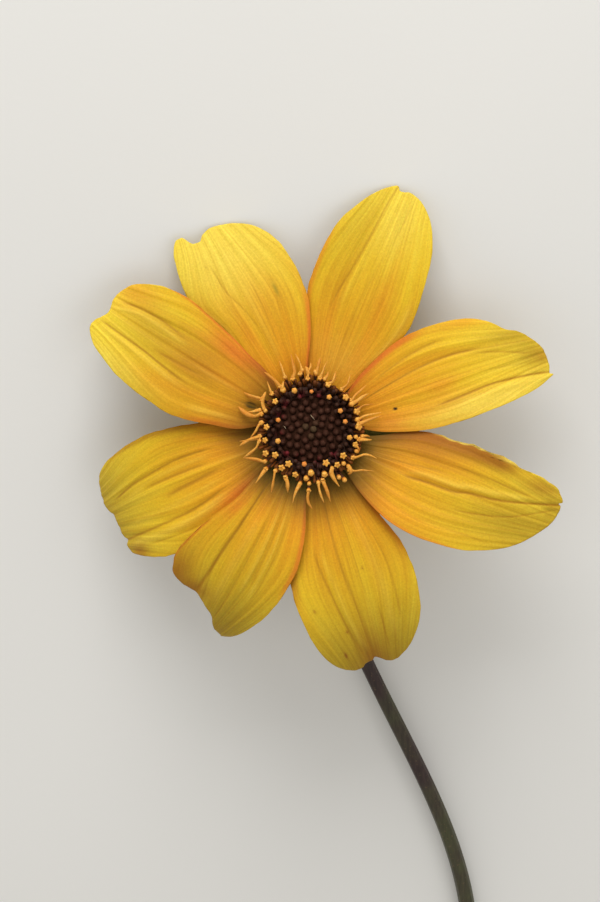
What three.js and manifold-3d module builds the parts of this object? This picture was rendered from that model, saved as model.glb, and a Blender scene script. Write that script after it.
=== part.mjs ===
// Single yellow dahlia with a dark disc, cut and lying on a table.
// Millimetres, +Z up, +Y from the flower head towards the cut end of the stem.
// The head has its own frame: z is the axis of the head and points out of its face. Angles go
// anticlockwise round that axis, seen from in front.

import * as THREE from 'three';
import { mergeVertices } from 'three/addons/utils/BufferGeometryUtils.js';
import Module from 'manifold-3d';

const wasm = await Module();
wasm.setup();

// Place of the head: centre of the petal bases, lean of its axis towards -Y and turn about its axis
const HEAD_X = 2.4;
const HEAD_Y = -62.7;
const HEAD_HEIGHT = 15.5;
const HEAD_LEAN = 30;
const HEAD_TURN = 177;

// Ray petals. The claw is the narrow base of a petal, as a share of the widest half width.
const CLAW_RADIUS = 8.6;
const CLAW_SHARE = 0.33;
const CLAW_CHANNEL = 0.5;
const PETAL_THICK = 0.66;
const LOBE_HEIGHT = 0.14;
const TIP_NARROWING = 0.1;
const CURL_START = 0.6;
const SWELL_PLACES = [[0.08, 0.1], [0.24, 0.12], [0.42, 0.13], [0.6, 0.12], [0.76, 0.12]];
const PETAL_ROWS = 12;
const ROW_CROWDING = 1.5;

// Each petal, clockwise from the one at the top right of the face. angle: direction of its midline.
// length: along the midline. left, right: half widths, left on the anticlockwise side. widest: where
// it is widest, as a share of the length. sweep: sideways bend of the tip. base: height of the base.
// rise: slope in degrees at the base and at the tip. curl: how far the tip bends down beyond that.
// edge: lift of the left and of the right margin, each near the base and farther out. swell: extra
// half width left and right round each of SWELL_PLACES (place along, half size). tip: corners of the
// outline, each as place across from -1 on the right margin to 1 on the left, and reach along.
const PETALS = [
  {
    angle: 67.1, length: 39.6, left: 10.2, right: 9.2, widest: 0.48, sweep: 0.4, base: 0.6,
    rise: [21, -1], curl: 2, edge: [[-0.5, 0.2], [-1, -0.8]],
    swell: [[0.3, 0, 0.4, 0.4, 0.4], [-0.1, 0.1, 0.5, 0.1, 0.2]],
    tip: [[-0.98, 0.61], [-0.95, 0.68], [-0.86, 0.79], [-0.61, 0.905], [-0.24, 0.967], [-0.04, 0.976],
      [0.12, 0.965], [0.165, 0.966], [0.2, 0.98], [0.235, 0.984], [0.37, 0.965], [0.58, 0.915], [0.8, 0.82],
      [0.98, 0.65]],
  },
  {
    angle: 21.8, length: 37.5, left: 9.7, right: 8.5, widest: 0.47, sweep: -1.8, base: 1.3,
    rise: [18, -14], curl: 0.6, edge: [[0.5, 0.6], [0.2, 0.4]],
    swell: [[0.5, 0.2, 0.2, 0.2, 0], [0.5, 0.2, -0.2, 0, 0]],
    tip: [[-0.98, 0.61], [-0.94, 0.77], [-0.83, 0.917], [-0.68, 0.975], [-0.56, 1], [-0.5, 0.978],
      [-0.3, 0.989], [-0.07, 0.987], [0.29, 0.94], [0.46, 0.895], [0.55, 0.845], [0.7, 0.805], [0.83, 0.76],
      [0.98, 0.625]],
  },
  {
    angle: -25.1, length: 39.7, left: 9.5, right: 10.5, widest: 0.47, sweep: 2.8, base: 0.9,
    rise: [15, -10], curl: 1.2, edge: [[-0.2, 0.9], [0.5, 0.3]],
    swell: [[-0.6, 0.4, -0.4, 0, 0], [0.3, 0.1, -0.4, -0.5, -0.2]],
    tip: [[-0.98, 0.595], [-0.85, 0.718], [-0.58, 0.855], [-0.29, 0.93], [0.13, 0.99], [0.35, 0.997],
      [0.47, 0.992], [0.51, 0.977], [0.55, 0.992], [0.74, 0.956], [0.8, 0.941], [0.89, 0.845], [0.92, 0.74],
      [0.98, 0.655]],
  },
  {
    angle: -73.9, length: 38.4, left: 11, right: 11.3, widest: 0.57, sweep: 0.2, base: -0.1,
    rise: [8, -26], curl: 2.5, edge: [[-0.5, 0.3], [-0.5, 0.2]],
    swell: [[0, -0.5, 0.1, 0.2, 0.1], [0, -0.1, 0.4, 0.1, 0]],
    tip: [[-0.98, 0.68], [-0.88, 0.86], [-0.66, 0.978], [-0.41, 1.02], [-0.3, 1.017], [-0.22, 0.99],
      [-0.07, 0.979], [-0.03, 0.964], [0.17, 1.01], [0.3, 1.025], [0.53, 0.986], [0.8, 0.88], [0.94, 0.77],
      [0.98, 0.685]],
  },
  {
    angle: -115, length: 35.9, left: 9, right: 11.9, widest: 0.64, sweep: -2.2, base: 1,
    rise: [14, -46], curl: 1.2, edge: [[0.5, 0.3], [0.6, 0.6]],
    swell: [[0.2, 0.7, 0.8, 0.1, 0], [-0.1, -1.4, -0.7, 0.2, 0.1]],
    tip: [[-0.98, 0.65], [-0.85, 0.755], [-0.64, 0.79], [-0.44, 0.805], [-0.23, 0.862], [-0.04, 0.913],
      [0.22, 1.027], [0.5, 1.064], [0.65, 1.024], [0.87, 0.83], [0.98, 0.667]],
  },
  {
    angle: -158.6, length: 36, left: 11.8, right: 10.5, widest: 0.54, sweep: 0.9, base: -0.2,
    rise: [9, -48], curl: 0.8, edge: [[-0.5, 0.3], [-0.4, -0.3]],
    swell: [[-0.1, 0.3, 0.2, 0.3, 0.1], [0.9, 0.2, -0.2, 0.1, 0]],
    tip: [[-0.98, 0.73], [-0.91, 0.893], [-0.74, 0.986], [-0.24, 1.03], [-0.1, 1.015], [0.05, 0.975],
      [0.35, 0.969], [0.46, 0.959], [0.53, 0.936], [0.62, 0.954], [0.74, 0.941], [0.86, 0.867],
      [0.98, 0.705]],
  },
  {
    angle: 150, length: 36.4, left: 10.2, right: 9.4, widest: 0.48, sweep: -1.2, base: 2.4,
    rise: [17, -12], curl: 0.4, edge: [[-0.9, -1.2], [0.6, 0.5]],
    swell: [[0.9, 0.3, 0.4, 0.2, 0.1], [0.3, -1, -1.2, 0, 0.1]],
    tip: [[-0.98, 0.665], [-0.86, 0.808], [-0.6, 0.914], [-0.19, 0.954], [0.07, 0.942], [0.24, 0.963],
      [0.38, 0.987], [0.5, 0.993], [0.76, 0.935], [0.9, 0.82], [0.98, 0.705]],
  },
  {
    angle: 112, length: 33.5, left: 9.4, right: 9.6, widest: 0.68, sweep: 3.5, base: 1.6,
    rise: [16, -6], curl: 2, edge: [[-0.6, -0.7], [0.6, 0.3]],
    swell: [[0.8, -0.1, -1.2, 0.8, 0.4], [-0.4, 0.3, 0.7, 0.3, 0.2]],
    tip: [[-0.98, 0.75], [-0.87, 0.855], [-0.69, 0.915], [-0.31, 0.962], [-0.04, 0.971], [0.2, 0.951],
      [0.33, 0.922], [0.45, 0.924], [0.62, 0.98], [0.71, 0.98], [0.89, 0.925], [0.98, 0.8]],
  },
];

// Disc: closed florets stand on a low dome in a spiral
const DISC_RADIUS = 6.2;
const DISC_FOOT = -0.9;
const DISC_ROUNDING = 0.5;
const DOME_EDGE = 3.4;
const DOME_CENTRE = 3.9;
const CLOSED_FLORETS = 44;
const CLOSED_HALF = 0.635;
const CLOSED_STAND = 1.1;
const CLOSED_LEAN = 14;
const GOLDEN_ANGLE = 137.508;

// Ring round the disc: open florets rooted in a band, upright ones inside and leaning ones outside.
// least and more: the shortest length or smallest lean, and how much chance may add to it.
const BAND_INNER = 6.55;
const BAND_OUTER = 8.2;
const BAND_TOP = 3.4;
const BAND_ROUNDING = 0.4;
const ROOT_DEPTH = 0.32;
const UPRIGHT = { count: 17, radius: 7.1, length: { least: 2.6, more: 0.7 }, lean: { least: 12, more: 6 } };
const LEANING = { count: 22, radius: 7.8, length: { least: 2.2, more: 0.5 }, lean: { least: 58, more: 8 } };
const ANGLE_SCATTER = 0.3;
const TUBE_FOOT = 0.25;
const TUBE_MOUTH = 0.43;
const STAR_RADIUS = 0.75;
const STAR_NOTCH = 0.5;
const STAR_THICK = 0.35;
const STRAND_LENGTH = 3;
const STRAND_RADIUS = 0.28;
const STRAND_SPREAD = 14;
const FLORET_SEED = 17;

// Bracts behind the petals: thin inner ones and leafy, bent back outer ones
const INNER_BRACTS = {
  count: 8, start: -3, radius: 9.2, height: -1.85, length: 11.5, half: 4.2, rise: [0, 3],
};
const OUTER_BRACTS = {
  count: 5, start: 23, radius: 8.3, height: -3.3, length: 9.5, half: 2.6, rise: [-4, -48],
};
const INNER_COLLAR = [[8.95, -2.3], [9.7, -2.3], [9.7, -1.45], [8.95, -1.45]];
const OUTER_COLLAR = [[8.0, -3.7], [8.8, -3.7], [8.8, -2.9], [8.0, -2.9]];
const BRACT_THICK = 0.62;
const BRACT_SHOULDER = 0.72;
const BRACT_FOOT_SHARE = 0.62;
const BRACT_TIP_NARROWING = 0.55;
const BRACT_LINES = [-1, -0.7, 0, 0.7, 1];

// Receptacle: radius and height in the head's frame, down to where the neck of the stem begins
const RECEPTACLE = [
  [8.2, -1.2], [8.6, -1.5], [8.6, -2.2], [7.6, -3.0], [5.2, -4.1], [3.1, -5.1], [2.1, -6.1], [1.7, -7.4],
];

// Stem: a neck that bends level, then a lying part that sways aside and back in a low arch
const NECK_RADIUS = 13.6;
const NECK_STEPS = 8;
const LYING_LENGTH = 150;
const LYING_STEPS = 16;
const LYING_SWAY = -29;
const LYING_TURN = 0.62;
const LYING_ARCH = 1.2;
const STEM_RADIUS_NECK = 1.3;
const STEM_RADIUS_CUT = 1.8;
const STEM_SIDES = 14;

const rad = THREE.MathUtils.degToRad;
const clamp = THREE.MathUtils.clamp;
const mix = THREE.MathUtils.lerp;
const smooth = (x) => THREE.MathUtils.smoothstep(x, 0, 1);
const UP = new THREE.Vector3(0, 0, 1);

// The head's frame in the table's frame
const headTurn = new THREE.Quaternion()
  .setFromAxisAngle(new THREE.Vector3(1, 0, 0), rad(HEAD_LEAN))
  .multiply(new THREE.Quaternion().setFromAxisAngle(UP, rad(HEAD_TURN)));
const headPlace = new THREE.Vector3(HEAD_X, HEAD_Y, HEAD_HEIGHT);
const headAxis = UP.clone().applyQuaternion(headTurn);
const tableUpInHead = UP.clone().applyQuaternion(headTurn.clone().invert());

// Materials by colour
function finish(color, roughness) {
  return new THREE.MeshStandardMaterial({ color, roughness, metalness: 0, flatShading: true });
}
const petalYellow = finish('#dfae36', 0.85);
const discBrown = finish('#2e1a15', 0.85);
const floretYellow = finish('#e0a03c', 0.85);
const innerGreen = finish('#8f9a52', 0.8);
const outerGreen = finish('#4d5a3a', 0.75);
const stemBronze = finish('#463a30', 0.7);

// One random number after another from a fixed start, between 0 and 1
function seeded(start) {
  let state = start;
  return () => {
    state = (state * 16807) % 2147483647;
    return state / 2147483647;
  };
}

// Geometry from points and triangles
function geometryFrom(points, triangles) {
  const geometry = new THREE.BufferGeometry();
  geometry.setAttribute('position', new THREE.Float32BufferAttribute(points.flatMap((p) => p.toArray()), 3));
  geometry.setIndex(triangles);
  geometry.computeVertexNormals();
  return geometry;
}

// Thin closed blade with its lines at the given places across. at(u, v, side) gives a point, u from
// base to tip, v from -1 to 1 across, and side 1 on the upper face or -1 on the lower one. Both faces
// are split along the same diagonals.
function blade(rows, across, at) {
  const columns = across.length - 1;
  const points = [];
  const triangles = [];
  for (const side of [1, -1]) {
    for (let i = 0; i <= rows; i += 1) {
      for (let j = 0; j <= columns; j += 1) {
        points.push(at(i / rows, across[j], side));
      }
    }
  }
  const lower = (rows + 1) * (columns + 1);
  const id = (i, j) => i * (columns + 1) + j;
  for (let i = 0; i < rows; i += 1) {
    for (let j = 0; j < columns; j += 1) {
      const [a, b, c, d] = [id(i, j), id(i + 1, j), id(i + 1, j + 1), id(i, j + 1)];
      triangles.push(a, b, c, a, c, d);
      triangles.push(lower + a, lower + c, lower + b, lower + a, lower + d, lower + c);
    }
  }
  const rim = [];
  for (let i = 0; i < rows; i += 1) rim.push(id(i, 0));
  for (let j = 0; j < columns; j += 1) rim.push(id(rows, j));
  for (let i = rows; i > 0; i -= 1) rim.push(id(i, columns));
  for (let j = columns; j > 0; j -= 1) rim.push(id(0, j));
  rim.forEach((a, k) => {
    const b = rim[(k + 1) % rim.length];
    triangles.push(a, lower + a, lower + b, a, lower + b, b);
  });
  return geometryFrom(points, triangles);
}

// Point of a blade whose midline bends from one slope to another as it leaves the head's axis:
// t along the midline, b sideways and h off the surface
function onMidline({ angle, radius, height, length, rise }, t, b, h) {
  const [start, end] = rise.map(rad);
  const turn = (end - start) / length;
  const slope = start + (end - start) * t;
  const out = radius + (Math.sin(slope) - Math.sin(start)) / turn - h * Math.sin(slope);
  const up = height - (Math.cos(slope) - Math.cos(start)) / turn + h * Math.cos(slope);
  const [c, s] = [Math.cos(rad(angle)), Math.sin(rad(angle))];
  return new THREE.Vector3(out * c - b * s, out * s + b * c, up);
}

// Width of a petal along its midline, as a share of its widest half width
function petalWidth(petal, t) {
  if (t < petal.widest) return CLAW_SHARE + (1 - CLAW_SHARE) * Math.sin((Math.PI / 2) * (t / petal.widest));
  return 1 - TIP_NARROWING * ((t - petal.widest) / (1 - petal.widest)) ** 2;
}

// Sideways shift of a point where the margins swell or draw in
function marginSwell(petal, t, v) {
  const amounts = petal.swell[v > 0 ? 0 : 1];
  const swell = amounts.reduce((sum, amount, k) => {
    const [place, half] = SWELL_PLACES[k];
    return sum + amount * Math.exp(-(((t - place) / half) ** 2));
  }, 0);
  return Math.sign(v) * v * v * swell;
}

// Height of a petal's surface: three low lobes, lifted margins, a channelled claw and a bent tip
function petalRelief(petal, t, v) {
  const grown = clamp(t / 0.3, 0, 1);
  const lobes = LOBE_HEIGHT * Math.abs(Math.cos(1.5 * Math.PI * v)) ** 0.8;
  const [near, far] = petal.edge[v > 0 ? 0 : 1];
  const margin = mix(near, far, smooth((t - 0.35) / 0.3)) * Math.abs(v) ** 3;
  const bend = petal.curl * (Math.max(t - CURL_START, 0) / (1 - CURL_START)) ** 2;
  return (lobes + margin) * grown + CLAW_CHANNEL * v * v * (1 - grown) - bend;
}

// A petal that reaches the table is pressed flat against it
function restOnTable(point, least) {
  const height = HEAD_HEIGHT + point.dot(tableUpInHead);
  if (height < least) point.addScaledVector(tableUpInHead, least - height);
  return point;
}

// Petal with one line to each corner of its tip, and one to each margin. Its rows crowd to the tip.
function rayPetal(petal) {
  const midline = { ...petal, radius: CLAW_RADIUS, height: petal.base };
  const corners = [[-1, petal.tip[0][1]], ...petal.tip, [1, petal.tip.at(-1)[1]]];
  const reachAt = new Map(corners);
  return blade(PETAL_ROWS, [...reachAt.keys()], (u, v, side) => {
    const t = (1 - (1 - u) ** ROW_CROWDING) * reachAt.get(v);
    const half = v > 0 ? petal.left : petal.right;
    const b = v * half * petalWidth(petal, t) + petal.sweep * t * t + marginSwell(petal, t, v);
    const h = petalRelief(petal, t, v) + (side * PETAL_THICK) / 2;
    return restOnTable(onMidline(midline, t, b, h), side > 0 ? PETAL_THICK : 0);
  });
}

// Solid for joining: shared vertices merged and flat triangles dropped
function solidOf(geometry) {
  const bare = geometry.clone();
  bare.deleteAttribute('normal');
  bare.deleteAttribute('uv');
  const merged = mergeVertices(bare, 1e-4);
  const kept = [];
  const index = merged.index.array;
  for (let k = 0; k < index.length; k += 3) {
    const [a, b, c] = [index[k], index[k + 1], index[k + 2]];
    if (a !== b && b !== c && c !== a) kept.push(a, b, c);
  }
  const vertProperties = new Float32Array(merged.attributes.position.array);
  return new wasm.Manifold(new wasm.Mesh({ numProp: 3, vertProperties, triVerts: new Uint32Array(kept) }));
}

// Geometries joined in one closed body
function joined(geometries) {
  const whole = geometries.map(solidOf).reduce((sum, next) => sum.add(next));
  const mesh = whole.getMesh();
  const geometry = new THREE.BufferGeometry();
  geometry.setAttribute('position', new THREE.Float32BufferAttribute(mesh.vertProperties, 3));
  geometry.setIndex(Array.from(mesh.triVerts));
  geometry.computeVertexNormals();
  return geometry;
}

// Turned shape round the head's axis from radius and height pairs
function turned(profile, segments) {
  const points = profile.map(([radius, height]) => new THREE.Vector2(radius, height));
  return new THREE.LatheGeometry(points, segments).rotateX(Math.PI / 2);
}

// Geometry built along +Y from its foot, stood on the head at a radius, height and angle, leaning out
function standOnHead(geometry, radius, height, angle, lean) {
  geometry.rotateX(Math.PI / 2);
  geometry.rotateY(rad(lean));
  geometry.translate(radius, 0, height);
  return geometry.rotateZ(rad(angle));
}

// Surface of the dome that the closed florets stand on
const domeHeight = (radius) => mix(DOME_CENTRE, DOME_EDGE, (radius / DISC_RADIUS) ** 2);

// Closed floret: a blunt bud on a short foot sunk in the dome
function closedFloret() {
  const foot = -DISC_ROUNDING;
  const profile = [[0, foot], [CLOSED_HALF * 0.7, foot], [CLOSED_HALF, CLOSED_STAND * 0.4]];
  profile.push([CLOSED_HALF * 0.72, CLOSED_STAND * 0.86], [0, CLOSED_STAND]);
  return new THREE.LatheGeometry(profile.map(([x, y]) => new THREE.Vector2(x, y)), 6);
}

function closedDisc() {
  const rounded = DISC_RADIUS - DISC_ROUNDING;
  const profile = [[0, DISC_FOOT], [DISC_RADIUS, DISC_FOOT], [DISC_RADIUS, DOME_EDGE - DISC_ROUNDING]];
  profile.push([rounded, domeHeight(rounded)], [rounded / 2, domeHeight(rounded / 2)], [0, DOME_CENTRE]);
  const pieces = [turned(profile, 24)];
  for (let k = 0; k < CLOSED_FLORETS; k += 1) {
    const radius = (DISC_RADIUS - CLOSED_HALF) * Math.sqrt((k + 0.5) / CLOSED_FLORETS);
    const lean = (CLOSED_LEAN * radius) / DISC_RADIUS;
    pieces.push(standOnHead(closedFloret(), radius, domeHeight(radius), k * GOLDEN_ANGLE, lean));
  }
  return joined(pieces);
}

// Five pointed mouth of an open floret, its middle at the given distance along +Y
function starMouth(distance) {
  const outline = new THREE.Shape();
  for (let k = 0; k < 10; k += 1) {
    const reach = k % 2 ? STAR_RADIUS * STAR_NOTCH : STAR_RADIUS;
    const corner = new THREE.Vector2(0, reach).rotateAround(new THREE.Vector2(), (k * Math.PI) / 5);
    if (k) outline.lineTo(corner.x, corner.y);
    else outline.moveTo(corner.x, corner.y);
  }
  const star = new THREE.ExtrudeGeometry(outline, { depth: STAR_THICK, bevelEnabled: false });
  return star.rotateX(-Math.PI / 2).translate(0, distance - STAR_THICK / 2, 0);
}

// Upright floret along +Y: a tube that widens to a five pointed mouth
function uprightFloret(length, random) {
  const tube = new THREE.CylinderGeometry(TUBE_MOUTH, TUBE_FOOT, length, 5).rotateY(random());
  return [tube.translate(0, length / 2, 0), starMouth(length)];
}

// Leaning floret along +Y: a tube that narrows to a long point, and a shorter strand beside it
function leaningFloret(length, random) {
  const profile = [[0, 0], [TUBE_FOOT, 0], [TUBE_MOUTH, length]];
  profile.push([STRAND_RADIUS, length + STRAND_LENGTH * 0.23], [0, length + STRAND_LENGTH]);
  const body = new THREE.LatheGeometry(profile.map(([x, y]) => new THREE.Vector2(x, y)), 5).rotateY(random());
  const long = STRAND_LENGTH * (0.7 + 0.2 * random());
  const strand = new THREE.ConeGeometry(STRAND_RADIUS, long, 4).rotateY(random());
  strand.translate(0, long / 2 - TUBE_MOUTH, 0).rotateX(rad(STRAND_SPREAD)).translate(0, length, 0);
  return [body, strand];
}

// Row of florets rooted in the band, each made by the given function
function floretRow(row, make, random) {
  const pieces = [];
  for (let k = 0; k < row.count; k += 1) {
    const angle = (360 / row.count) * (k + ANGLE_SCATTER * random());
    const length = row.length.least + row.length.more * random();
    const lean = row.lean.least + row.lean.more * random();
    for (const piece of make(length, random)) {
      pieces.push(standOnHead(piece, row.radius, BAND_TOP - ROOT_DEPTH, angle, lean));
    }
  }
  return pieces;
}

function openFlorets() {
  const random = seeded(FLORET_SEED);
  const band = [[BAND_INNER, DISC_FOOT], [BAND_OUTER, DISC_FOOT], [BAND_OUTER, BAND_TOP - BAND_ROUNDING]];
  band.push([BAND_OUTER - BAND_ROUNDING, BAND_TOP], [BAND_INNER, BAND_TOP], [BAND_INNER, DISC_FOOT]);
  const upright = floretRow(UPRIGHT, uprightFloret, random);
  const leaning = floretRow(LEANING, leaningFloret, random);
  return joined([turned(band, 24), ...upright, ...leaning]);
}

// Ring of bracts on a thin collar round the receptacle
function bractRing(bracts, collar) {
  const pieces = [turned([...collar, collar[0]], 24)];
  for (let k = 0; k < bracts.count; k += 1) {
    const midline = { ...bracts, angle: bracts.start + (360 / bracts.count) * k };
    pieces.push(blade(5, BRACT_LINES, (u, v, side) => {
      const t = u * (BRACT_SHOULDER + (1 - BRACT_SHOULDER) * Math.sqrt(1 - v * v));
      const swell = mix(BRACT_FOOT_SHARE, 1, Math.sin(Math.PI * t));
      const b = v * bracts.half * swell * (1 - BRACT_TIP_NARROWING * t ** 3);
      return onMidline(midline, t, b, (side * BRACT_THICK) / 2);
    }));
  }
  return joined(pieces);
}

// Stations of the receptacle and stem: centre, direction and radius, in the table's frame
function stemStations() {
  const down = headAxis.clone().negate();
  const stations = RECEPTACLE.map(([radius, height]) => ({
    centre: headPlace.clone().addScaledVector(headAxis, height), along: down, radius,
  }));
  const neckStart = stations.at(-1).centre;
  const neckRadius = stations.at(-1).radius;
  const bend = Math.PI / 2 - rad(HEAD_LEAN);
  const inward = new THREE.Vector3(0, Math.sin(bend), Math.cos(bend));
  for (let k = 1; k <= NECK_STEPS; k += 1) {
    const turn = (bend * k) / NECK_STEPS;
    const centre = neckStart.clone()
      .addScaledVector(inward, NECK_RADIUS * (1 - Math.cos(turn)))
      .addScaledVector(down, NECK_RADIUS * Math.sin(turn));
    const along = inward.clone().multiplyScalar(Math.sin(turn)).addScaledVector(down, Math.cos(turn));
    stations.push({ centre, along, radius: mix(neckRadius, STEM_RADIUS_NECK, k / NECK_STEPS) });
  }
  const level = stations.at(-1).centre;
  const lying = (w) => new THREE.Vector3(
    level.x + LYING_SWAY * Math.sin(Math.PI * LYING_TURN * w) ** 2,
    level.y + LYING_LENGTH * w,
    mix(level.z, STEM_RADIUS_CUT, smooth(w)) + LYING_ARCH * Math.sin(Math.PI * w) ** 2,
  );
  for (let k = 1; k <= LYING_STEPS; k += 1) {
    const w = k / LYING_STEPS;
    const along = lying(w).sub(lying(w - 0.01)).normalize();
    stations.push({ centre: lying(w), along, radius: mix(STEM_RADIUS_NECK, STEM_RADIUS_CUT, w) });
  }
  return stations;
}

// Receptacle and stem as one turned and bent body, closed by a flat top and a flat cut
function receptacleAndStem() {
  const stations = stemStations();
  const points = [];
  const triangles = [];
  for (const { centre, along, radius } of stations) {
    const across = new THREE.Vector3().crossVectors(UP, along).normalize();
    const upward = new THREE.Vector3().crossVectors(along, across);
    for (let k = 0; k < STEM_SIDES; k += 1) {
      const turn = (2 * Math.PI * k) / STEM_SIDES;
      points.push(centre.clone()
        .addScaledVector(upward, -radius * Math.cos(turn))
        .addScaledVector(across, radius * Math.sin(turn)));
    }
  }
  const last = (stations.length - 1) * STEM_SIDES;
  for (let k = 0; k < STEM_SIDES; k += 1) {
    const next = (k + 1) % STEM_SIDES;
    for (let ring = 0; ring < last; ring += STEM_SIDES) {
      const [a, b, c, d] = [ring + k, ring + next, ring + STEM_SIDES + next, ring + STEM_SIDES + k];
      triangles.push(a, b, c, a, c, d);
    }
    triangles.push(points.length, next, k);
    triangles.push(points.length + 1, last + k, last + next);
  }
  points.push(stations[0].centre.clone(), stations.at(-1).centre.clone());
  return geometryFrom(points, triangles);
}

function named(name, geometry, material) {
  const mesh = new THREE.Mesh(geometry, material);
  mesh.name = name;
  return mesh;
}

const head = new THREE.Group();
head.position.copy(headPlace);
head.quaternion.copy(headTurn);
PETALS.forEach((petal, k) => head.add(named(`ray_petal_${k + 1}`, rayPetal(petal), petalYellow)));
head.add(named('closed_disc_florets', closedDisc(), discBrown));
head.add(named('open_disc_florets', openFlorets(), floretYellow));
head.add(named('inner_bracts', bractRing(INNER_BRACTS, INNER_COLLAR), innerGreen));
head.add(named('outer_bracts', bractRing(OUTER_BRACTS, OUTER_COLLAR), outerGreen));

const flower = new THREE.Group();
flower.add(head);
flower.add(named('receptacle_and_stem', receptacleAndStem(), stemBronze));

export default flower;
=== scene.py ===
"""Single yellow dahlia, cut and laid down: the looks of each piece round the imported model."""

import math

import bmesh
import bpy
import numpy as np
from bpy.props import FloatProperty, FloatVectorProperty, IntProperty, PointerProperty
from mathutils import Matrix, Vector


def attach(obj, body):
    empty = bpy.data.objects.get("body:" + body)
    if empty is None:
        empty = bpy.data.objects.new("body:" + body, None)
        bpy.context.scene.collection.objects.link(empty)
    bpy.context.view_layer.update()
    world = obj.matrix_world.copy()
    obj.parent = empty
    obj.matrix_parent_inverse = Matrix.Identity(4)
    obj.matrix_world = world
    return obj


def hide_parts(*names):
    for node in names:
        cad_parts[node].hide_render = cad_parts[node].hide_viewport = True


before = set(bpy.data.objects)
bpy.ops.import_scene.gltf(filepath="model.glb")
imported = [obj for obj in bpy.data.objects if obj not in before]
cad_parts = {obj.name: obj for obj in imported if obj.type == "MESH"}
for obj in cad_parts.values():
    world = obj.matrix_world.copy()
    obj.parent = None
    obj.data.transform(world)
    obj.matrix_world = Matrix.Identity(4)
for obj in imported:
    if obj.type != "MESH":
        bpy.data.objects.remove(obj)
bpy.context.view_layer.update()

bl_info = {
    "name": "Single yellow dahlia",
    "version": (1, 0, 0),
    "blender": (4, 5, 0),
    "location": "3D View > Sidebar > Dahlia",
    "description": "Builds the petals, florets, bracts and stem of a single yellow dahlia",
    "category": "Add Mesh",
}

MM = 0.001
FULL_TURN = 2 * math.pi
BODY = "root"
GOLDEN_ANGLE = math.radians(137.508)

# Place of the head: centre of the petal bases, lean of its axis and turn about its axis
HEAD_CENTRE = Vector((2.4, -62.7, 15.5)) * MM
HEAD_LEAN = math.radians(30)
HEAD_TURN = math.radians(177)
HEAD = (
    Matrix.Translation(HEAD_CENTRE)
    @ Matrix.Rotation(HEAD_LEAN, 4, "X")
    @ Matrix.Rotation(HEAD_TURN, 4, "Z")
)
TABLE_UP_IN_HEAD = np.array(HEAD.to_3x3().transposed() @ Vector((0, 0, 1)))

# Ray petals, in millimetres and degrees. The claw is the narrow foot of a petal: its distance from the
# axis, its width as a share of the widest, the depth of its channel, and where it ends along the petal
CLAW_RADIUS = 8.6
CLAW_SHARE = 0.33
CLAW_CHANNEL = 0.5
CLAW_END = 0.3
# Where the tip starts to curl, height of the lobes across a petal, how much the petal narrows past its
# widest place, and how much its veins run together
CURL_START = 0.6
LOBE_HEIGHT = 0.14
TIP_NARROWING = 0.1
VEIN_GATHER = 0.42
# Faces along and across a petal, and seed of its waves
PETAL_ROWS = 120
PETAL_COLUMNS = 128
PETAL_SEED = 100
# Widths of the creases in the relief and of the painted shade along the grooves, as shares of those given
# below
CREASE_SHARE = 0.75
LINE_SHARE = 0.42
# Rate and size of each wave: along a ruffled margin, of the ridges across a petal, and of the drift of
# its colours
RUFFLES = ((37, 1), (89, 0.7))
RIDGES = ((5.7, 1), (9.3, 0.7), (14.1, 0.5))
DRIFTS = ((7, 0.05), (13, 0.04), (23, 0.03))
# Places along a petal where its margins swell or draw in, each with its half size
MARGIN_PLACES = [(0.08, 0.1), (0.24, 0.12), (0.42, 0.13), (0.6, 0.12), (0.76, 0.12)]
# Shade of the back of a petal, as a share of its face
BACK_SHADE = (0.86, 0.88, 0.9)
# Least height of the upper and of the lower face over the table, and height under which it counts
TABLE_GAP = {1: 0.35, -1: 0.05}
TABLE_NEAR = 2
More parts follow.
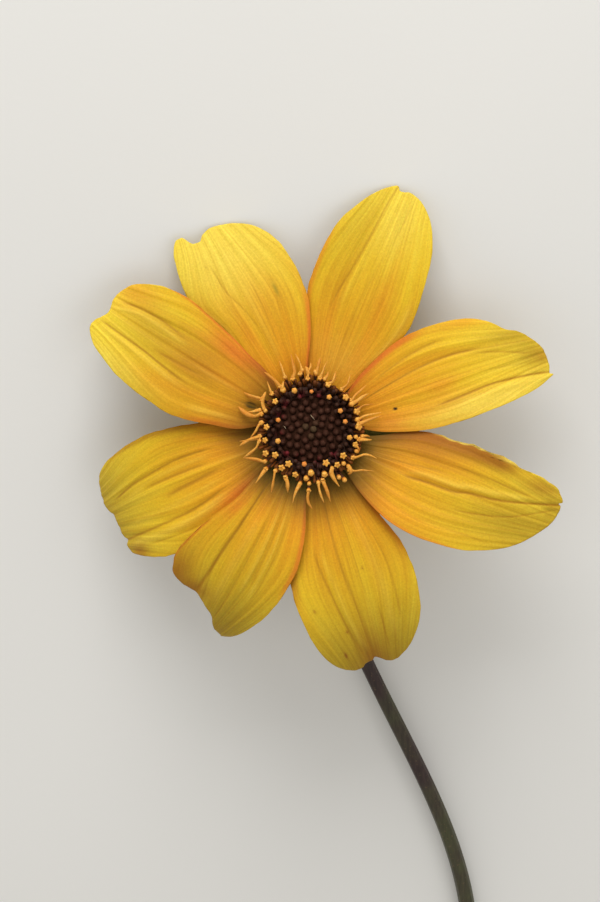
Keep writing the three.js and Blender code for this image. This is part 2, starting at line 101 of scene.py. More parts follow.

# Each petal, clockwise from the one at the top right of the face. Places go from 0 at the base to 1
# along it, and from -1 on its right margin to 1 on its left one, seen from in front.
# angle = direction of the midline
# length = along the midline
# half = half widths to the left and right
# widest = where it is widest
# sweep = sideways bend of the tip
# base = height of the base
# rise = slope at the base and at the tip
# curl = how far the tip bends down beyond that
# edge = lift of the left and of the right margin, each near the base and farther out
# foot = how dark the claw is: its own darker colour with painted shade from the disc, strongest on the lower
# petals
# ruffle = size of the waves of the left and right margin
# margins = extra half width left and right at each of MARGIN_PLACES
# tip = outline of the end, as place across and reach along
# creases = height, half width across and course of a ridge or groove, as places along and across
# strips = tint, strength, side, place across where it starts, and from where to where along
# patches = tint, strength, place along and across, and half size along and across
# Several strips and patches are painted shade and a few are painted light, as the comment at each petal
# names them
PETALS = [
    {
        "angle": 67.1, "length": 39.6, "half": (10.2, 9.2), "widest": 0.48, "sweep": 0.4, "base": 0.6,
        "rise": (21, -1), "curl": 0, "edge": ((-0.5, 0.2), (-0.6, 0.2)), "foot": 0, "ruffle": (0.05, 0.05),
        "margins": ((0.3, 0, 0.4, 0.4, 0.4), (-0.1, 0.1, 0.5, 0.1, 0.2)),
        "tip": [
            (-1, 0.49), (-0.98, 0.61), (-0.95, 0.68), (-0.86, 0.79), (-0.61, 0.905), (-0.24, 0.967),
            (-0.04, 0.976), (0.12, 0.965), (0.165, 0.966), (0.2, 0.98), (0.235, 0.984), (0.37, 0.965),
            (0.58, 0.915), (0.8, 0.82), (0.98, 0.65), (1, 0.53),
        ],
        "creases": [
            (-0.1, 0.04, [(0.38, 0.52), (0.57, 0.4), (0.73, 0.33), (0.93, 0.26), (1, 0.2)]),
            (0.05, 0.07, [(0.38, 0.4), (0.57, 0.28), (0.73, 0.21), (0.97, 0.12)]),
            (-0.05, 0.03, [(0.76, -0.12), (0.94, -0.2)]),
            (0.12, 0.07, [(0.18, -0.84), (0.5, -0.86)]),
            (-0.05, 0.05, [(0.2, 0.1), (0.6, 0.02)]),
        ],
        # Painted shade: the olive patch on the upper left part, which tilts away from the light. Painted
        # light: the faint pale patch at the base, which offsets the shadow of the strands.
        "strips": [
            ("orange", 0.4, 1, 0.9, 0.05, 0.7), ("orange", 0.3, -1, 0.88, 0, 0.3),
        ],
        "patches": [
            ("amber", 0.35, 0.47, -0.25, 0.12, 0.2), ("olive", 0.3, 0.72, 0.62, 0.3, 0.3),
            ("pale", 0.4, 0.86, -0.1, 0.2, 0.4), ("pale", 0.2, 0.12, 0, 0.12, 0.9),
        ],
    },
    {
        "angle": 21.8, "length": 37.5, "half": (9.7, 8.5), "widest": 0.47, "sweep": -1.8, "base": 1.3,
        "rise": (18, -14), "curl": 0.6, "edge": ((0.5, -0.3), (0.2, 0.4)), "foot": 0.2,
        "ruffle": (0.03, 0.04),
        "margins": ((0.5, 0.2, 0.2, 0.2, 0), (0.5, 0.2, -0.2, 0, 0)),
        "tip": [
            (-1, 0.49), (-0.98, 0.61), (-0.94, 0.77), (-0.84, 0.905), (-0.75, 0.957), (-0.685, 0.987),
            (-0.64, 0.972), (-0.48, 0.984), (-0.3, 0.989), (-0.07, 0.987), (0.29, 0.94), (0.46, 0.895),
            (0.55, 0.845), (0.7, 0.805), (0.83, 0.76), (0.98, 0.625), (1, 0.505),
        ],
        "creases": [
            (-0.14, 0.05, [(0.08, 0.3), (0.2, 0.32), (0.47, 0.37), (0.55, 0.38), (0.67, 0.35)]),
            (-0.08, 0.06, [(0.18, 0.6), (0.35, 0.65), (0.52, 0.7)]),
            (-0.09, 0.05, [(0.66, 0.28), (0.78, 0.15), (0.9, -0.02)]),
            (-0.2, 0.05, [
                (0.42, -0.5), (0.52, -0.48), (0.68, -0.44), (0.77, -0.47), (0.87, -0.52), (0.99, -0.62),
            ]),
            (0.14, 0.09, [(0.48, -0.66), (0.68, -0.6), (0.87, -0.66), (0.97, -0.7)]),
            (-0.05, 0.04, [(0.66, -0.1), (0.9, -0.25)]),
        ],
        # Painted shade: the orange strip along the left margin, partly its own colour and partly shade from
        # the petal that lies over it, and the olive patches on the upper part and at the tip, which slope
        # away from the light. Painted light: the large pale patch on the lower part.
        "strips": [
            ("orange", 0.75, 1, 0.84, 0, 0.42),
        ],
        "patches": [
            ("olive", 0.55, 0.86, 0.38, 0.2, 0.3), ("amber", 0.45, 0.45, -0.15, 0.08, 0.2),
            ("orange", 0.3, 0.16, -0.7, 0.06, 0.2), ("olive", 0.75, 0.93, -0.1, 0.1, 0.4),
            ("brown", 0.4, 0.97, -0.22, 0.04, 0.15), ("pale", 0.6, 0.62, -0.78, 0.35, 0.28),
            ("black", 8, 0.2, -0.33, 0.006, 0.024), ("amber", 0.4, 0.68, 0.9, 0.12, 0.13),
        ],
    },
    {
        "angle": -25.1, "length": 39.7, "half": (9.5, 10.5), "widest": 0.47, "sweep": 2.8, "base": 0.9,
        "rise": (15, -10), "curl": 1.2, "edge": ((-0.2, 0.9), (0.5, 0.3)), "foot": 0.95,
        "ruffle": (0.2, 0),
        "margins": ((-0.6, 0.4, -0.4, 0, 0), (0.3, 0.1, -0.4, -0.5, -0.2)),
        "tip": [
            (-1, 0.475), (-0.98, 0.595), (-0.85, 0.718), (-0.58, 0.855), (-0.29, 0.93), (0.13, 0.99),
            (0.35, 0.997), (0.47, 0.992), (0.51, 0.977), (0.55, 0.992), (0.74, 0.956), (0.8, 0.941),
            (0.89, 0.845), (0.92, 0.74), (0.98, 0.655), (1, 0.535),
        ],
        "creases": [
            (-0.22, 0.05, [
                (0.28, -0.05), (0.38, 0), (0.5, 0.02), (0.58, 0.1), (0.66, 0.13), (0.75, 0.2), (0.84, 0.3),
                (1, 0.5),
            ]),
            (0.16, 0.07, [
                (0.28, 0.07), (0.38, 0.12), (0.5, 0.14), (0.58, 0.21), (0.66, 0.25), (0.75, 0.32),
                (0.84, 0.4),
            ]),
            (-0.1, 0.04, [(0.56, -0.27), (0.64, -0.22), (0.8, -0.05), (0.89, 0.15), (0.98, 0.37)]),
            (-0.09, 0.05, [(0.48, 0.5), (0.56, 0.5), (0.84, 0.44)]),
            (-0.05, 0.05, [(0.42, -0.65), (0.72, -0.65)]),
            (-0.07, 0.06, [(0.1, 0.15), (0.25, 0.22), (0.42, 0.3)]),
        ],
        # Painted shade: the brown strip inside the curled left margin, the brown patches and the olive
        # patches at the bent tip. Painted highlight: the pale strips along the rim of the curled margin.
        "strips": [
            ("brown", 0.85, 1, 0.56, 0.06, 0.72), ("orange", 0.4, -1, 0.92, 0.05, 0.7),
            ("pale", 0.7, 1, 0.96, 0.34, 0.6), ("pale", 1, 1, 0.88, 0.64, 0.9),
        ],
        "patches": [
            ("olive", 0.75, 0.84, -0.2, 0.28, 0.6), ("amber", 0.4, 0.45, 0.5, 0.2, 0.2),
            ("brown", 0.5, 0.04, 0.6, 0.05, 0.4), ("brown", 0.5, 0.3, 0.58, 0.15, 0.2),
            ("brown", 0.55, 0.87, 0.7, 0.1, 0.18), ("olive", 0.6, 0.96, 0.35, 0.06, 0.3),
        ],
    },
    {
        "angle": -73.9, "length": 38.4, "half": (11, 11.3), "widest": 0.57, "sweep": 0.2, "base": -0.1,
        "rise": (8, -26), "curl": 2.5, "edge": ((-0.5, 0.3), (-0.5, 0.2)), "foot": 1,
        "ruffle": (0.05, 0.05),
        "margins": ((0, -0.5, 0.1, 0.2, 0.1), (0, -0.1, 0.4, 0.1, 0)),
        "tip": [
            (-1, 0.56), (-0.98, 0.68), (-0.88, 0.86), (-0.66, 0.978), (-0.41, 1.02), (-0.3, 1.017),
            (-0.22, 0.99), (-0.07, 0.979), (-0.03, 0.964), (0.17, 1.01), (0.3, 1.025), (0.53, 0.986),
            (0.8, 0.88), (0.94, 0.77), (0.98, 0.685), (1, 0.565),
        ],
        "creases": [
            (-0.07, 0.025, [(0.12, 0.12), (0.6, 0.12)]),
            (-0.1, 0.05, [(0.36, -0.54), (0.55, -0.42), (0.7, -0.35), (0.94, -0.2)]),
            (0.08, 0.05, [(0.36, -0.43), (0.55, -0.32), (0.7, -0.26), (0.9, -0.12)]),
            (-0.1, 0.03, [(0.7, 0.28), (0.92, 0.28)]),
            (-0.1, 0.06, [(0.1, -0.2), (0.4, -0.15), (0.75, -0.06), (1, -0.03)]),
            (0.08, 0.08, [(0.2, 0.4), (0.85, 0.45)]),
            (-0.07, 0.05, [(0.15, 0.55), (0.5, 0.62), (0.75, 0.6)]),
        ],
        "strips": [
            ("orange", 0.4, 1, 0.88, 0.05, 0.45), ("brown", 0.5, -1, 0.86, 0.05, 0.55),
        ],
        # Painted shade: the olive and brown patches at the tip, which bends down away from the light.
        "patches": [
            ("olive", 0.8, 1, 0, 0.38, 1.5), ("brown", 0.65, 1, -0.05, 0.2, 0.3),
            ("brown", 0.8, 0.62, -0.75, 0.008, 0.025), ("brown", 1, 0.77, -0.35, 0.008, 0.02),
            ("brown", 1, 0.9, -0.5, 0.02, 0.025), ("brown", 0.8, 0.48, 0.2, 0.007, 0.018),
        ],
    },
    {
        "angle": -115, "length": 35.9, "half": (9, 11.9), "widest": 0.64, "sweep": -2.2, "base": 1,
        "rise": (14, -46), "curl": 1.2, "edge": ((0.5, 0.3), (0.6, 0.6)), "foot": 1.1,
        "ruffle": (0.05, 0.08),
        "margins": ((0.2, 0.7, 0.8, 0.1, 0), (-0.1, -1.4, -0.7, 0.2, 0.1)),
        "tip": [
            (-1, 0.53), (-0.98, 0.65), (-0.85, 0.755), (-0.64, 0.79), (-0.44, 0.805), (-0.23, 0.862),
            (-0.04, 0.913), (0.22, 1.027), (0.5, 1.064), (0.65, 1.024), (0.87, 0.83), (0.98, 0.667),
            (1, 0.547),
        ],
        "creases": [
            (-0.18, 0.06, [(0.12, -0.5), (0.25, -0.45), (0.4, -0.4), (0.55, -0.4), (0.82, -0.44)]),
            (-0.09, 0.06, [(0.22, 0.33), (0.62, 0.33)]),
            (-0.09, 0.05, [(0.22, 0.52), (0.68, 0.5)]),
            (0.11, 0.05, [(0.2, 0.22), (0.66, 0.22)]),
            (0.11, 0.05, [(0.2, 0.42), (0.68, 0.42)]),
            (0.08, 0.07, [(0.3, -0.16), (0.8, -0.12)]),
            (-0.07, 0.05, [(0.3, 0.02), (0.9, 0.05)]),
        ],
        "strips": [
            ("orange", 0.65, 1, 0.88, 0, 0.6), ("orange", 0.5, -1, 0.94, 0.4, 0.85),
        ],
        # Painted shade: the olive patch at the bent tip and the brown patch on the right margin, which curls
        # under.
        "patches": [
            ("orange", 0.4, 0.27, -0.8, 0.07, 0.15), ("olive", 0.85, 1, 0.3, 0.42, 0.9),
            ("brown", 0.75, 0.74, -0.88, 0.18, 0.3), ("brown", 0.7, 0.79, -0.5, 0.07, 0.28),
        ],
    },
    {
        "angle": -158.6, "length": 36, "half": (11.8, 10.5), "widest": 0.54, "sweep": 0.9, "base": -0.2,
        "rise": (9, -48), "curl": 0.8, "edge": ((-0.5, 0.3), (-0.4, -0.3)), "foot": 0.85,
        "ruffle": (0.08, 0.05),
        "margins": ((-0.1, 0.3, 0.2, 0.3, 0.1), (1.2, 0.2, -0.2, 0.1, 0)),
        "tip": [
            (-1, 0.61), (-0.98, 0.73), (-0.91, 0.893), (-0.74, 0.986), (-0.24, 1.03), (-0.1, 1.015),
            (0.05, 0.975), (0.35, 0.969), (0.46, 0.959), (0.53, 0.936), (0.62, 0.954), (0.74, 0.941),
            (0.86, 0.867), (0.98, 0.705), (1, 0.585),
        ],
        "creases": [
            (-0.15, 0.05, [(0.28, -0.42), (0.45, -0.4), (0.6, -0.35), (0.75, -0.3), (0.9, -0.2)]),
            (-0.11, 0.06, [(0.33, -0.15), (0.67, -0.15)]),
            (-0.11, 0.08, [(0.28, 0.05), (0.42, 0.08), (0.57, 0.12)]),
            (-0.12, 0.05, [(0.28, 0.42), (0.5, 0.48), (0.7, 0.5), (0.95, 0.53)]),
            (0.15, 0.07, [(0.3, 0.53), (0.5, 0.6), (0.7, 0.63), (0.9, 0.64)]),
            (-0.08, 0.03, [(0.5, 0.74), (0.76, 0.72)]),
            (0.09, 0.06, [(0.3, -0.28), (0.6, -0.24), (0.8, -0.1)]),
            (0.08, 0.06, [(0.3, 0.25), (0.6, 0.3), (0.85, 0.33)]),
        ],
        "strips": [
            ("brown", 0.5, -1, 0.88, 0.1, 0.9), ("orange", 0.35, 1, 0.88, 0.05, 0.35),
        ],
        # Painted shade: the olive patch at the bent tip and the brown patch at the base of the right side.
        "patches": [
            ("amber", 0.25, 0.42, 0.07, 0.14, 0.1), ("amber", 0.2, 0.5, -0.15, 0.15, 0.07),
            ("orange", 0.7, 0.2, 0.68, 0.14, 0.18), ("olive", 0.6, 1.02, 0.1, 0.25, 1.5),
            ("brown", 0.4, 0.05, -0.6, 0.1, 0.4), ("brown", 0.7, 0.87, 0.78, 0.07, 0.18),
        ],
    },
    {
        "angle": 150, "length": 36.4, "half": (10.2, 9.4), "widest": 0.48, "sweep": -1.2, "base": 2.2,
        "rise": (17, -12), "curl": 0.4, "edge": ((-0.9, -1.2), (0.3, 0.6)), "foot": 0.7,
        "ruffle": (0.05, 0.05),
        "margins": ((1.2, 0.3, 0.4, 0.2, 0.1), (0.3, -1, -1.2, 0, 0.1)),
        "tip": [
            (-1, 0.545), (-0.98, 0.665), (-0.86, 0.808), (-0.6, 0.914), (-0.19, 0.954), (0.07, 0.942),
            (0.24, 0.963), (0.38, 0.987), (0.5, 0.993), (0.76, 0.935), (0.9, 0.82), (0.98, 0.705),
            (1, 0.585),
        ],
        "creases": [
            (0.15, 0.05, [(0.55, -0.18), (0.69, -0.22), (0.78, -0.22), (0.85, -0.15), (0.95, 0)]),
            (-0.11, 0.06, [(0.55, -0.29), (0.69, -0.34), (0.78, -0.34), (0.9, -0.24)]),
            (0.15, 0.05, [(0.47, 0.5), (0.6, 0.45), (0.68, 0.42), (0.94, 0.4)]),
            (-0.13, 0.05, [(0.45, 0.4), (0.6, 0.35), (0.68, 0.32), (0.95, 0.3)]),
            (-0.11, 0.06, [(0.38, 0.15), (0.62, 0.2)]),
            (0.07, 0.04, [(0.18, 0.07), (0.42, 0.07)]),
            (0.13, 0.07, [(0.15, 0.75), (0.35, 0.75)]),
            (-0.3, 0.07, [(0.04, 0.25), (0.12, 0.27)]),
        ],
        # Painted shade: the orange strips and patch along the right margin, partly its own colour and partly
        # shade from the next petal over it, the brown patch on the middle, shaded by its neighbours, and the
        # black patch near the base, which stands for a dark gap.
        "strips": [
            ("orange", 0.6, -1, 0.92, 0.1, 0.8), ("orange", 0.65, -1, 0.7, 0.02, 0.22),
            ("orange", 0.5, 1, 0.86, 0, 0.34),
        ],
        "patches": [
            ("orange", 0.75, 0.3, -0.72, 0.16, 0.26), ("amber", 0.45, 0.5, 0.18, 0.12, 0.07),
            ("pale", 0.4, 0.82, 0.85, 0.28, 0.25), ("brown", 0.45, 0.42, 0, 0.2, 0.5),
            ("amber", 0.4, 0.55, 0.64, 0.14, 0.14), ("amber", 0.5, 0.86, -0.5, 0.14, 0.35),
            ("olive", 0.5, 0.7, -0.1, 0.2, 0.4), ("black", 6, 0.085, 0.27, 0.018, 0.06),
        ],
    },
    {
        "angle": 112, "length": 33.5, "half": (9.4, 9.6), "widest": 0.68, "sweep": 3.5, "base": 1.6,
        "rise": (16, -6), "curl": 0, "edge": ((-0.6, -0.8), (0.6, 0.3)), "foot": 0.1,
        "ruffle": (0.05, 0.05),
        "margins": ((0.8, -0.1, -1.2, 0.8, 0.4), (-0.4, 0.3, 0.7, 0.3, 0.2)),
        "tip": [
            (-1, 0.63), (-0.98, 0.75), (-0.87, 0.855), (-0.69, 0.915), (-0.31, 0.962), (-0.04, 0.971),
            (0.2, 0.951), (0.33, 0.922), (0.45, 0.924), (0.62, 0.98), (0.71, 0.98), (0.89, 0.925),
            (0.98, 0.8), (1, 0.68),
        ],
        "creases": [
            (-0.07, 0.04, [(0.38, 0.17), (0.5, 0.25), (0.62, 0.36), (0.77, 0.38)]),
            (-0.05, 0.03, [(0.36, -0.73), (0.67, -0.7)]),
            (-0.05, 0.03, [(0.18, -0.4), (0.35, -0.38), (0.5, -0.46)]),
            (0.12, 0.06, [(0.08, 0.88), (0.55, 0.9)]),
            (0.07, 0.08, [(0.2, 0.05), (0.6, 0.02), (0.85, 0.05)]),
            (-0.06, 0.05, [(0.25, -0.1), (0.6, -0.14)]),
        ],
        "strips": [
            ("orange", 0.6, -1, 0.88, 0, 0.45), ("orange", 0.25, 1, 0.88, 0, 0.3),
        ],
        "patches": [
            ("moss", 1.2, 0.53, -0.5, 0.035, 0.03), ("amber", 0.45, 0.35, 0.5, 0.07, 0.14),
            ("amber", 0.3, 0.52, 0, 0.16, 0.7), ("pale", 0.6, 0.82, 0.1, 0.26, 1.2),
            ("brown", 0.3, 0.78, 0.46, 0.009, 0.02),
        ],
    },
]

# Disc, in millimetres: its radius, height of the closed florets at its centre and at its edge, and half
# width of the outermost. Radius and height of the dome under them and the band under the open florets.
DISC_RADIUS = 6.2
DOME_CENTRE = 3.9
DOME_EDGE = 3.4
CLOSED_HALF = 0.635
DOME = [
    (0, -0.9), (6.2, -0.9), (6.2, 2.9), (6.05, 3.25), (5.7, 3.48), (4.4, 3.65), (2.8, 3.8), (1.4, 3.87),
    (0, 3.9),
]
BAND = [(6.1, -0.9), (9.1, -0.9), (9.1, 1.6), (8.6, 2.4), (8.2, 2.9), (8.08, 3.2), (7.8, 3.4), (6.1, 3.4)]

# Dark tubes where the spiral goes on in the ring: its last number, their least distance from an open
# floret and their size
RING_FLORETS = 122
TUBE_GAP = 0.7
TUBE_SIZE = 0.95
# Feet of the florets in the band: their height, and their distance from the axis as a share of that of
# the mouth, with its least and greatest value
FLORET_FOOT = 3.2
FOOT_SHARE = 0.86
FOOT_REACH = (6.8, 8.0)
# Strands: height of their feet and of the middle of their tubes, and size of the mouths at their start
STRAND_FOOT = 3.1
STRAND_MIDDLE = 4.1
FLAME_HEAD = 0.8
# Height of the mouths next to the disc, how far it falls outward, and where and over how much
MOUTHS = dict(level=5.75, fall=0.9, start=6.5, width=4)
# Spin of a floret about its own axis for a luck of 1, in radians
FLORET_SPIN = 40.0

# Open florets of the ring, by the place of the mouth on the face: x and y in millimetres, size of the
# mouth and how orange it still is
STARS = [
    (-6.37, 5.17, 1.0, 0), (-7.95, 0.5, 1.0, 0), (-8.13, -4.32, 1.05, 0), (-6.37, -4.6, 1.1, 0),
    (-3.92, -6.21, 1.15, 0), (-5.2, -6.95, 1.1, 0), (-2.72, -8.2, 1.0, 0), (6.03, -4.73, 1.1, 0),
    (2.88, -6.03, 1.15, 0), (4.94, -6.4, 1.0, 0), (6.5, 5.92, 1.1, 0), (8.53, 3.32, 1.1, 0),
    (8.9, 0.55, 1.2, 0), (3.29, 8.24, 1.0, 0), (-8.23, -1.9, 0.95, 0), (8.25, -2.7, 0.95, 0),
]
BALLS = [
    (-2.86, 7.12, 1.05, 0.15), (3.44, 5.92, 0.95, 0.3), (5.47, 3.42, 0.95, 0.5), (6.36, 1.47, 0.9, 0.65),
    (0.24, 6.92, 0.75, 0.8), (-5.78, 1.75, 0.85, 0.7), (-5.82, -2.05, 1.0, 0.25), (-1.06, -6.22, 0.95, 0.75),
    (7.18, -1.44, 1.0, 0.1), (0.15, -7.9, 1.2, 0.05), (2.65, -8.16, 1.15, 0.05), (7.6, 4.72, 1.0, 0.1),
    (8.67, 1.84, 0.95, 0.15), (6.12, -6.17, 0.85, 0.1), (5.29, -8.7, 0.85, 0.1), (6.31, -9.18, 0.9, 0.1),
    (-4.95, 7.3, 1.1, 0.1), (-0.73, -8.9, 1.0, 0.1), (-0.18, -9.83, 0.8, 0.1), (8.35, -1.31, 0.8, 0.1),
    (-8.88, 1.29, 0.9, 0.1), (0.94, 10.64, 0.8, 0.2), (8.5, -3.9, 0.8, 0.15),
]
# Florets of the outer ring that end in a long strand: points on the face from the mouth to the tip
FLAMES = [
    [(-5.0, 7.3), (-4.95, 8.1), (-4.85, 8.8)],
    [(-5.5, 7.9), (-6.5, 9.0), (-7.6, 9.95), (-8.3, 10.5)],
    [(-7.0, 6.6), (-7.4, 7.6), (-7.8, 8.8)],
    [(-8.2, 3.5), (-8.65, 4.9), (-8.3, 6.25), (-8.0, 6.9)],
    [(-8.9, 5.6), (-10.2, 5.95), (-11.2, 6.3), (-12.0, 6.8)],
    [(-9.2, 3.6), (-10.5, 3.3), (-11.7, 3.2)],
    [(-8.9, 2.9), (-10.0, 2.45), (-11.2, 2.7), (-12.2, 3.4), (-13.0, 4.2)],
    [(-9.0, 1.2), (-9.5, 0.5), (-9.9, -0.3), (-10.9, -1.5)],
    [(-9.2, -1.2), (-10.2, -1.5), (-11.2, -1.9), (-12.8, -2.1)],
    [(-9.9, -1.5), (-11.2, -1.9), (-12.1, -2.4), (-12.8, -2.9)],
    [(-9.3, -2.0), (-9.75, -3.2), (-11.1, -4.4), (-12.1, -5.1)],
    [(-8.3, -5.8), (-9.4, -5.5), (-10.6, -5.3), (-12.2, -5.1)],
    [(-8.1, -7.2), (-9.0, -8.4), (-9.9, -9.7)],
    [(-6.35, -7.5), (-6.6, -8.9), (-6.8, -10.1), (-7.05, -11.4)],
    [(-4.5, -8.7), (-4.15, -9.5), (-4.1, -10.4), (-4.05, -11.4)],
    [(-1.85, -9.85), (-2.4, -10.8), (-2.85, -11.9), (-3.15, -13.3)],
    [(-0.27, -11.1), (-0.45, -12.2), (-0.3, -13.3), (0.35, -14.3)],
    [(1.5, -9.65), (1.6, -10.6), (1.95, -11.9), (2.55, -13.3)],
    [(2.3, -9.2), (2.75, -10.3), (3.2, -11.5), (3.7, -13.1)],
    [(4.0, -7.05), (3.85, -7.8), (4.35, -8.95), (5.3, -10.3)],
    [(7.2, -7.3), (8.2, -7.5), (9.4, -7.35), (11.6, -7.5)],
    [(7.0, -6.7), (7.4, -7.6), (6.9, -8.1)],
    [(7.8, -5.1), (8.7, -4.9), (9.8, -4.5), (10.9, -4.65), (12.1, -5.2)],
    [(8.3, -2.9), (8.9, -3.6), (8.7, -4.3)],
    [(8.9, -1.75), (10.1, -1.8), (11.2, -1.85)],
    [(9.6, -1.2), (10.3, -1.1), (10.9, -1.3)],
    [(8.9, 1.1), (10.4, 1.7), (11.8, 2.2), (13.0, 2.6)],
    [(8.8, 1.9), (9.8, 2.5), (11.1, 2.8), (12.9, 3.15)],
    [(8.6, 3.4), (9.3, 4.2), (10.2, 4.5), (11.6, 4.7)],
    [(7.8, 4.8), (8.6, 5.3), (9.6, 6.0), (10.6, 6.6)],
    [(7.6, 5.4), (8.2, 6.3), (9.2, 7.2), (10.2, 8.1)],
    [(5.75, 7.4), (6.7, 8.2), (7.0, 9.0), (7.3, 10.1)],
    [(3.4, 8.3), (4.1, 8.7), (4.45, 9.6), (4.6, 10.6)],
    [(2.7, 9.3), (3.1, 9.9), (3.3, 10.6)],
    [(1.8, 9.4), (2.3, 10.5), (2.65, 11.6), (3.1, 12.4)],
    [(1.1, 10.3), (1.4, 11.4), (1.65, 12.3), (1.9, 13.1)],
    [(-0.45, 9.35), (-0.3, 10.6), (0.05, 11.4), (0.1, 12.2)],
    [(-0.35, 10.4), (-0.6, 11.2), (-0.9, 11.5)],
    [(-1.85, 10.2), (-1.5, 10.7), (-1.4, 11.1)],
    [(-1.5, 10.9), (-1.75, 11.9), (-2.2, 12.9), (-2.7, 13.8)],
    [(-3.2, 9.3), (-2.8, 10.4), (-3.05, 11.8), (-3.5, 13.8)],
    [(-4.6, 9.6), (-4.85, 10.4), (-5.2, 11.5), (-5.6, 12.5)],
]

# Brown florets that lean out between the strands: number, least reach and how much chance adds
FRINGE = dict(count=78, reach=8.7, scatter=1.2, seed=7)

# Pale threads that lie on the disc, as points on the face, and their height
THREADS = [
    [(0.1, 2.7), (0.25, 2.45), (0.5, 2.2), (0.8, 1.85)],
    [(-4.8, 0.7), (-4.6, 0.5), (-4.45, 0.2)],
]
THREAD_HEIGHT = 4.95

# Florets with crimson tips, by their place on the face in millimetres
CRIMSON_TIPS = [
    (-1.55, 6.2), (1.39, 6.0), (-4.4, 4.6), (-5.2, 2.5), (-5.4, -0.7), (-4.2, -4.2), (-2.0, -4.8),
    (1.3, -5.35), (4.2, -4.1),
]

# Bracts, in millimetres and degrees, and radius and height of the collar that joins each ring
INNER_BRACTS = dict(count=8, start=-3, radius=9.2, height=-1.85, length=11.5, half=4.2, rise=(0, 3))
OUTER_BRACTS = dict(count=5, start=23, radius=8.3, height=-3.3, length=9.5, half=2.6, rise=(-4, -48))
INNER_COLLAR = [(8.95, -2.3), (9.7, -2.3), (9.7, -1.45), (8.95, -1.45)]
OUTER_COLLAR = [(8.0, -3.7), (8.8, -3.7), (8.8, -2.9), (8.0, -2.9)]
# Faces along and across a bract, where its blunt end starts at the sides, its width at the foot as a
# share of the widest, and how much it narrows to the tip
BRACT_ROWS = 26
BRACT_COLUMNS = 22
BRACT_SHOULDER = 0.72
BRACT_FOOT_SHARE = 0.62
BRACT_TIP_NARROWING = 0.55

# Receptacle and stem, in millimetres: radius and height of the receptacle, number of points along each
# stretch, then the neck that bends level and the lying part that sways aside and back in a low arch
RECEPTACLE = [
    (8.2, -1.2), (8.6, -1.5), (8.6, -2.2), (7.6, -3.0), (5.2, -4.1), (3.1, -5.1), (2.1, -6.1), (1.7, -7.4),
]
RECEPTACLE_STEPS = 40
NECK_STEPS = 24
LYING_STEPS = 100
NECK_RADIUS = 13.6
LYING_LENGTH = 150
LYING_SWAY = -29
LYING_TURN = 0.62
LYING_ARCH = 1.2
STEM_RADIUS_NECK = 1.3
STEM_RADIUS_CUT = 1.8
# Steps of the hollow in the cut end: inset, height and how pale the wood is
CUT_STEPS = [(0.12, 0.0, 1.0), (0.5, -0.02, 1.0), (0.12, -1.4, 0.2)]

# Stage, in metres, with the lens in millimetres: half width of the floor, distance of the lights,
# direction and width of each, and place of the camera in the head's frame
FLOOR_HALF = 3.0
LIGHT_DISTANCE = 0.95
LIGHTS = {"key_light": ((-0.08, 0.66, 0.75), 0.6), "fill_light": ((0.55, -0.35, 0.75), 0.7)}
CAMERA_PLACE = Vector((-1.84, -3.86, 460)) * MM
CAMERA_LENS = 100


def tone(red, green, blue):
    """Scene linear colour of a screen colour given from 0 to 255."""
    shares = [value / 255 for value in (red, green, blue)]
    return tuple(s / 12.92 if s < 0.04045 else ((s + 0.055) / 1.055) ** 2.4 for s in shares)


# Tints of the strips and patches: besides the petals' own marks, olive, brown, orange and black also serve
# as painted shade, and pale as painted light
TINTS = {
    "amber": tone(222, 138, 30), "orange": tone(222, 112, 42), "brown": tone(158, 92, 26),
    "olive": tone(176, 142, 30), "moss": tone(156, 142, 26), "pale": tone(244, 220, 104),
    "black": tone(24, 18, 14),
}
CRIMSON = tone(100, 22, 30)


def colour(name, text, rgb):
    limits = dict(subtype="COLOR", size=3, min=0, max=1, default=tone(*rgb))
    return FloatVectorProperty(name=name, description=text, **limits)


def length(name, text, millimetres):
    limits = dict(unit="LENGTH", subtype="DISTANCE", min=0, default=millimetres * MM)
    return FloatProperty(name=name, description=text, **limits)


def watts(name, text, default):
    return FloatProperty(name=name, description=text, unit="POWER", min=0, default=default)


def amount(name, text, default):
    return FloatProperty(name=name, description=text, min=0, default=default)


class PetalSettings(bpy.types.PropertyGroup):
    """Sizes and colours of the ray petals"""
    thickness: length("Thickness", "Thickness of a petal at its middle", 0.36)
    ridge: length("Ridge height", "Height of the fine ridges along a petal", 0.045)
    wave: length("Wave height", "Height of the broad waves of a petal", 0.13)
    crease: amount("Creases", "How high and deep the creases are", 0.85)
    base: colour("Base", "Colour near the disc", (232, 158, 32))
    middle: colour("Middle", "Colour of the middle of a petal", (226, 170, 32))
    outer: colour("Outer part", "Colour of the outer part of a petal", (231, 193, 42))
    tip: colour("Tip", "Colour of the outer end of a petal", (238, 210, 62))
    margin: colour("Margin", "Colour of the margins near the disc", (222, 116, 42))
    # Painted shade in the grooves and painted highlight on the ridges of the creases
    groove_shade: colour("Groove", "Colour in the grooves", (172, 122, 24))
    ridge_highlight: colour("Ridge", "Colour on the ridges", (246, 216, 92))
    # Darkens the claw: its own colour with painted shade from the disc
    claw_and_shade: colour("Claw", "Colour of the narrow foot", (104, 84, 24))


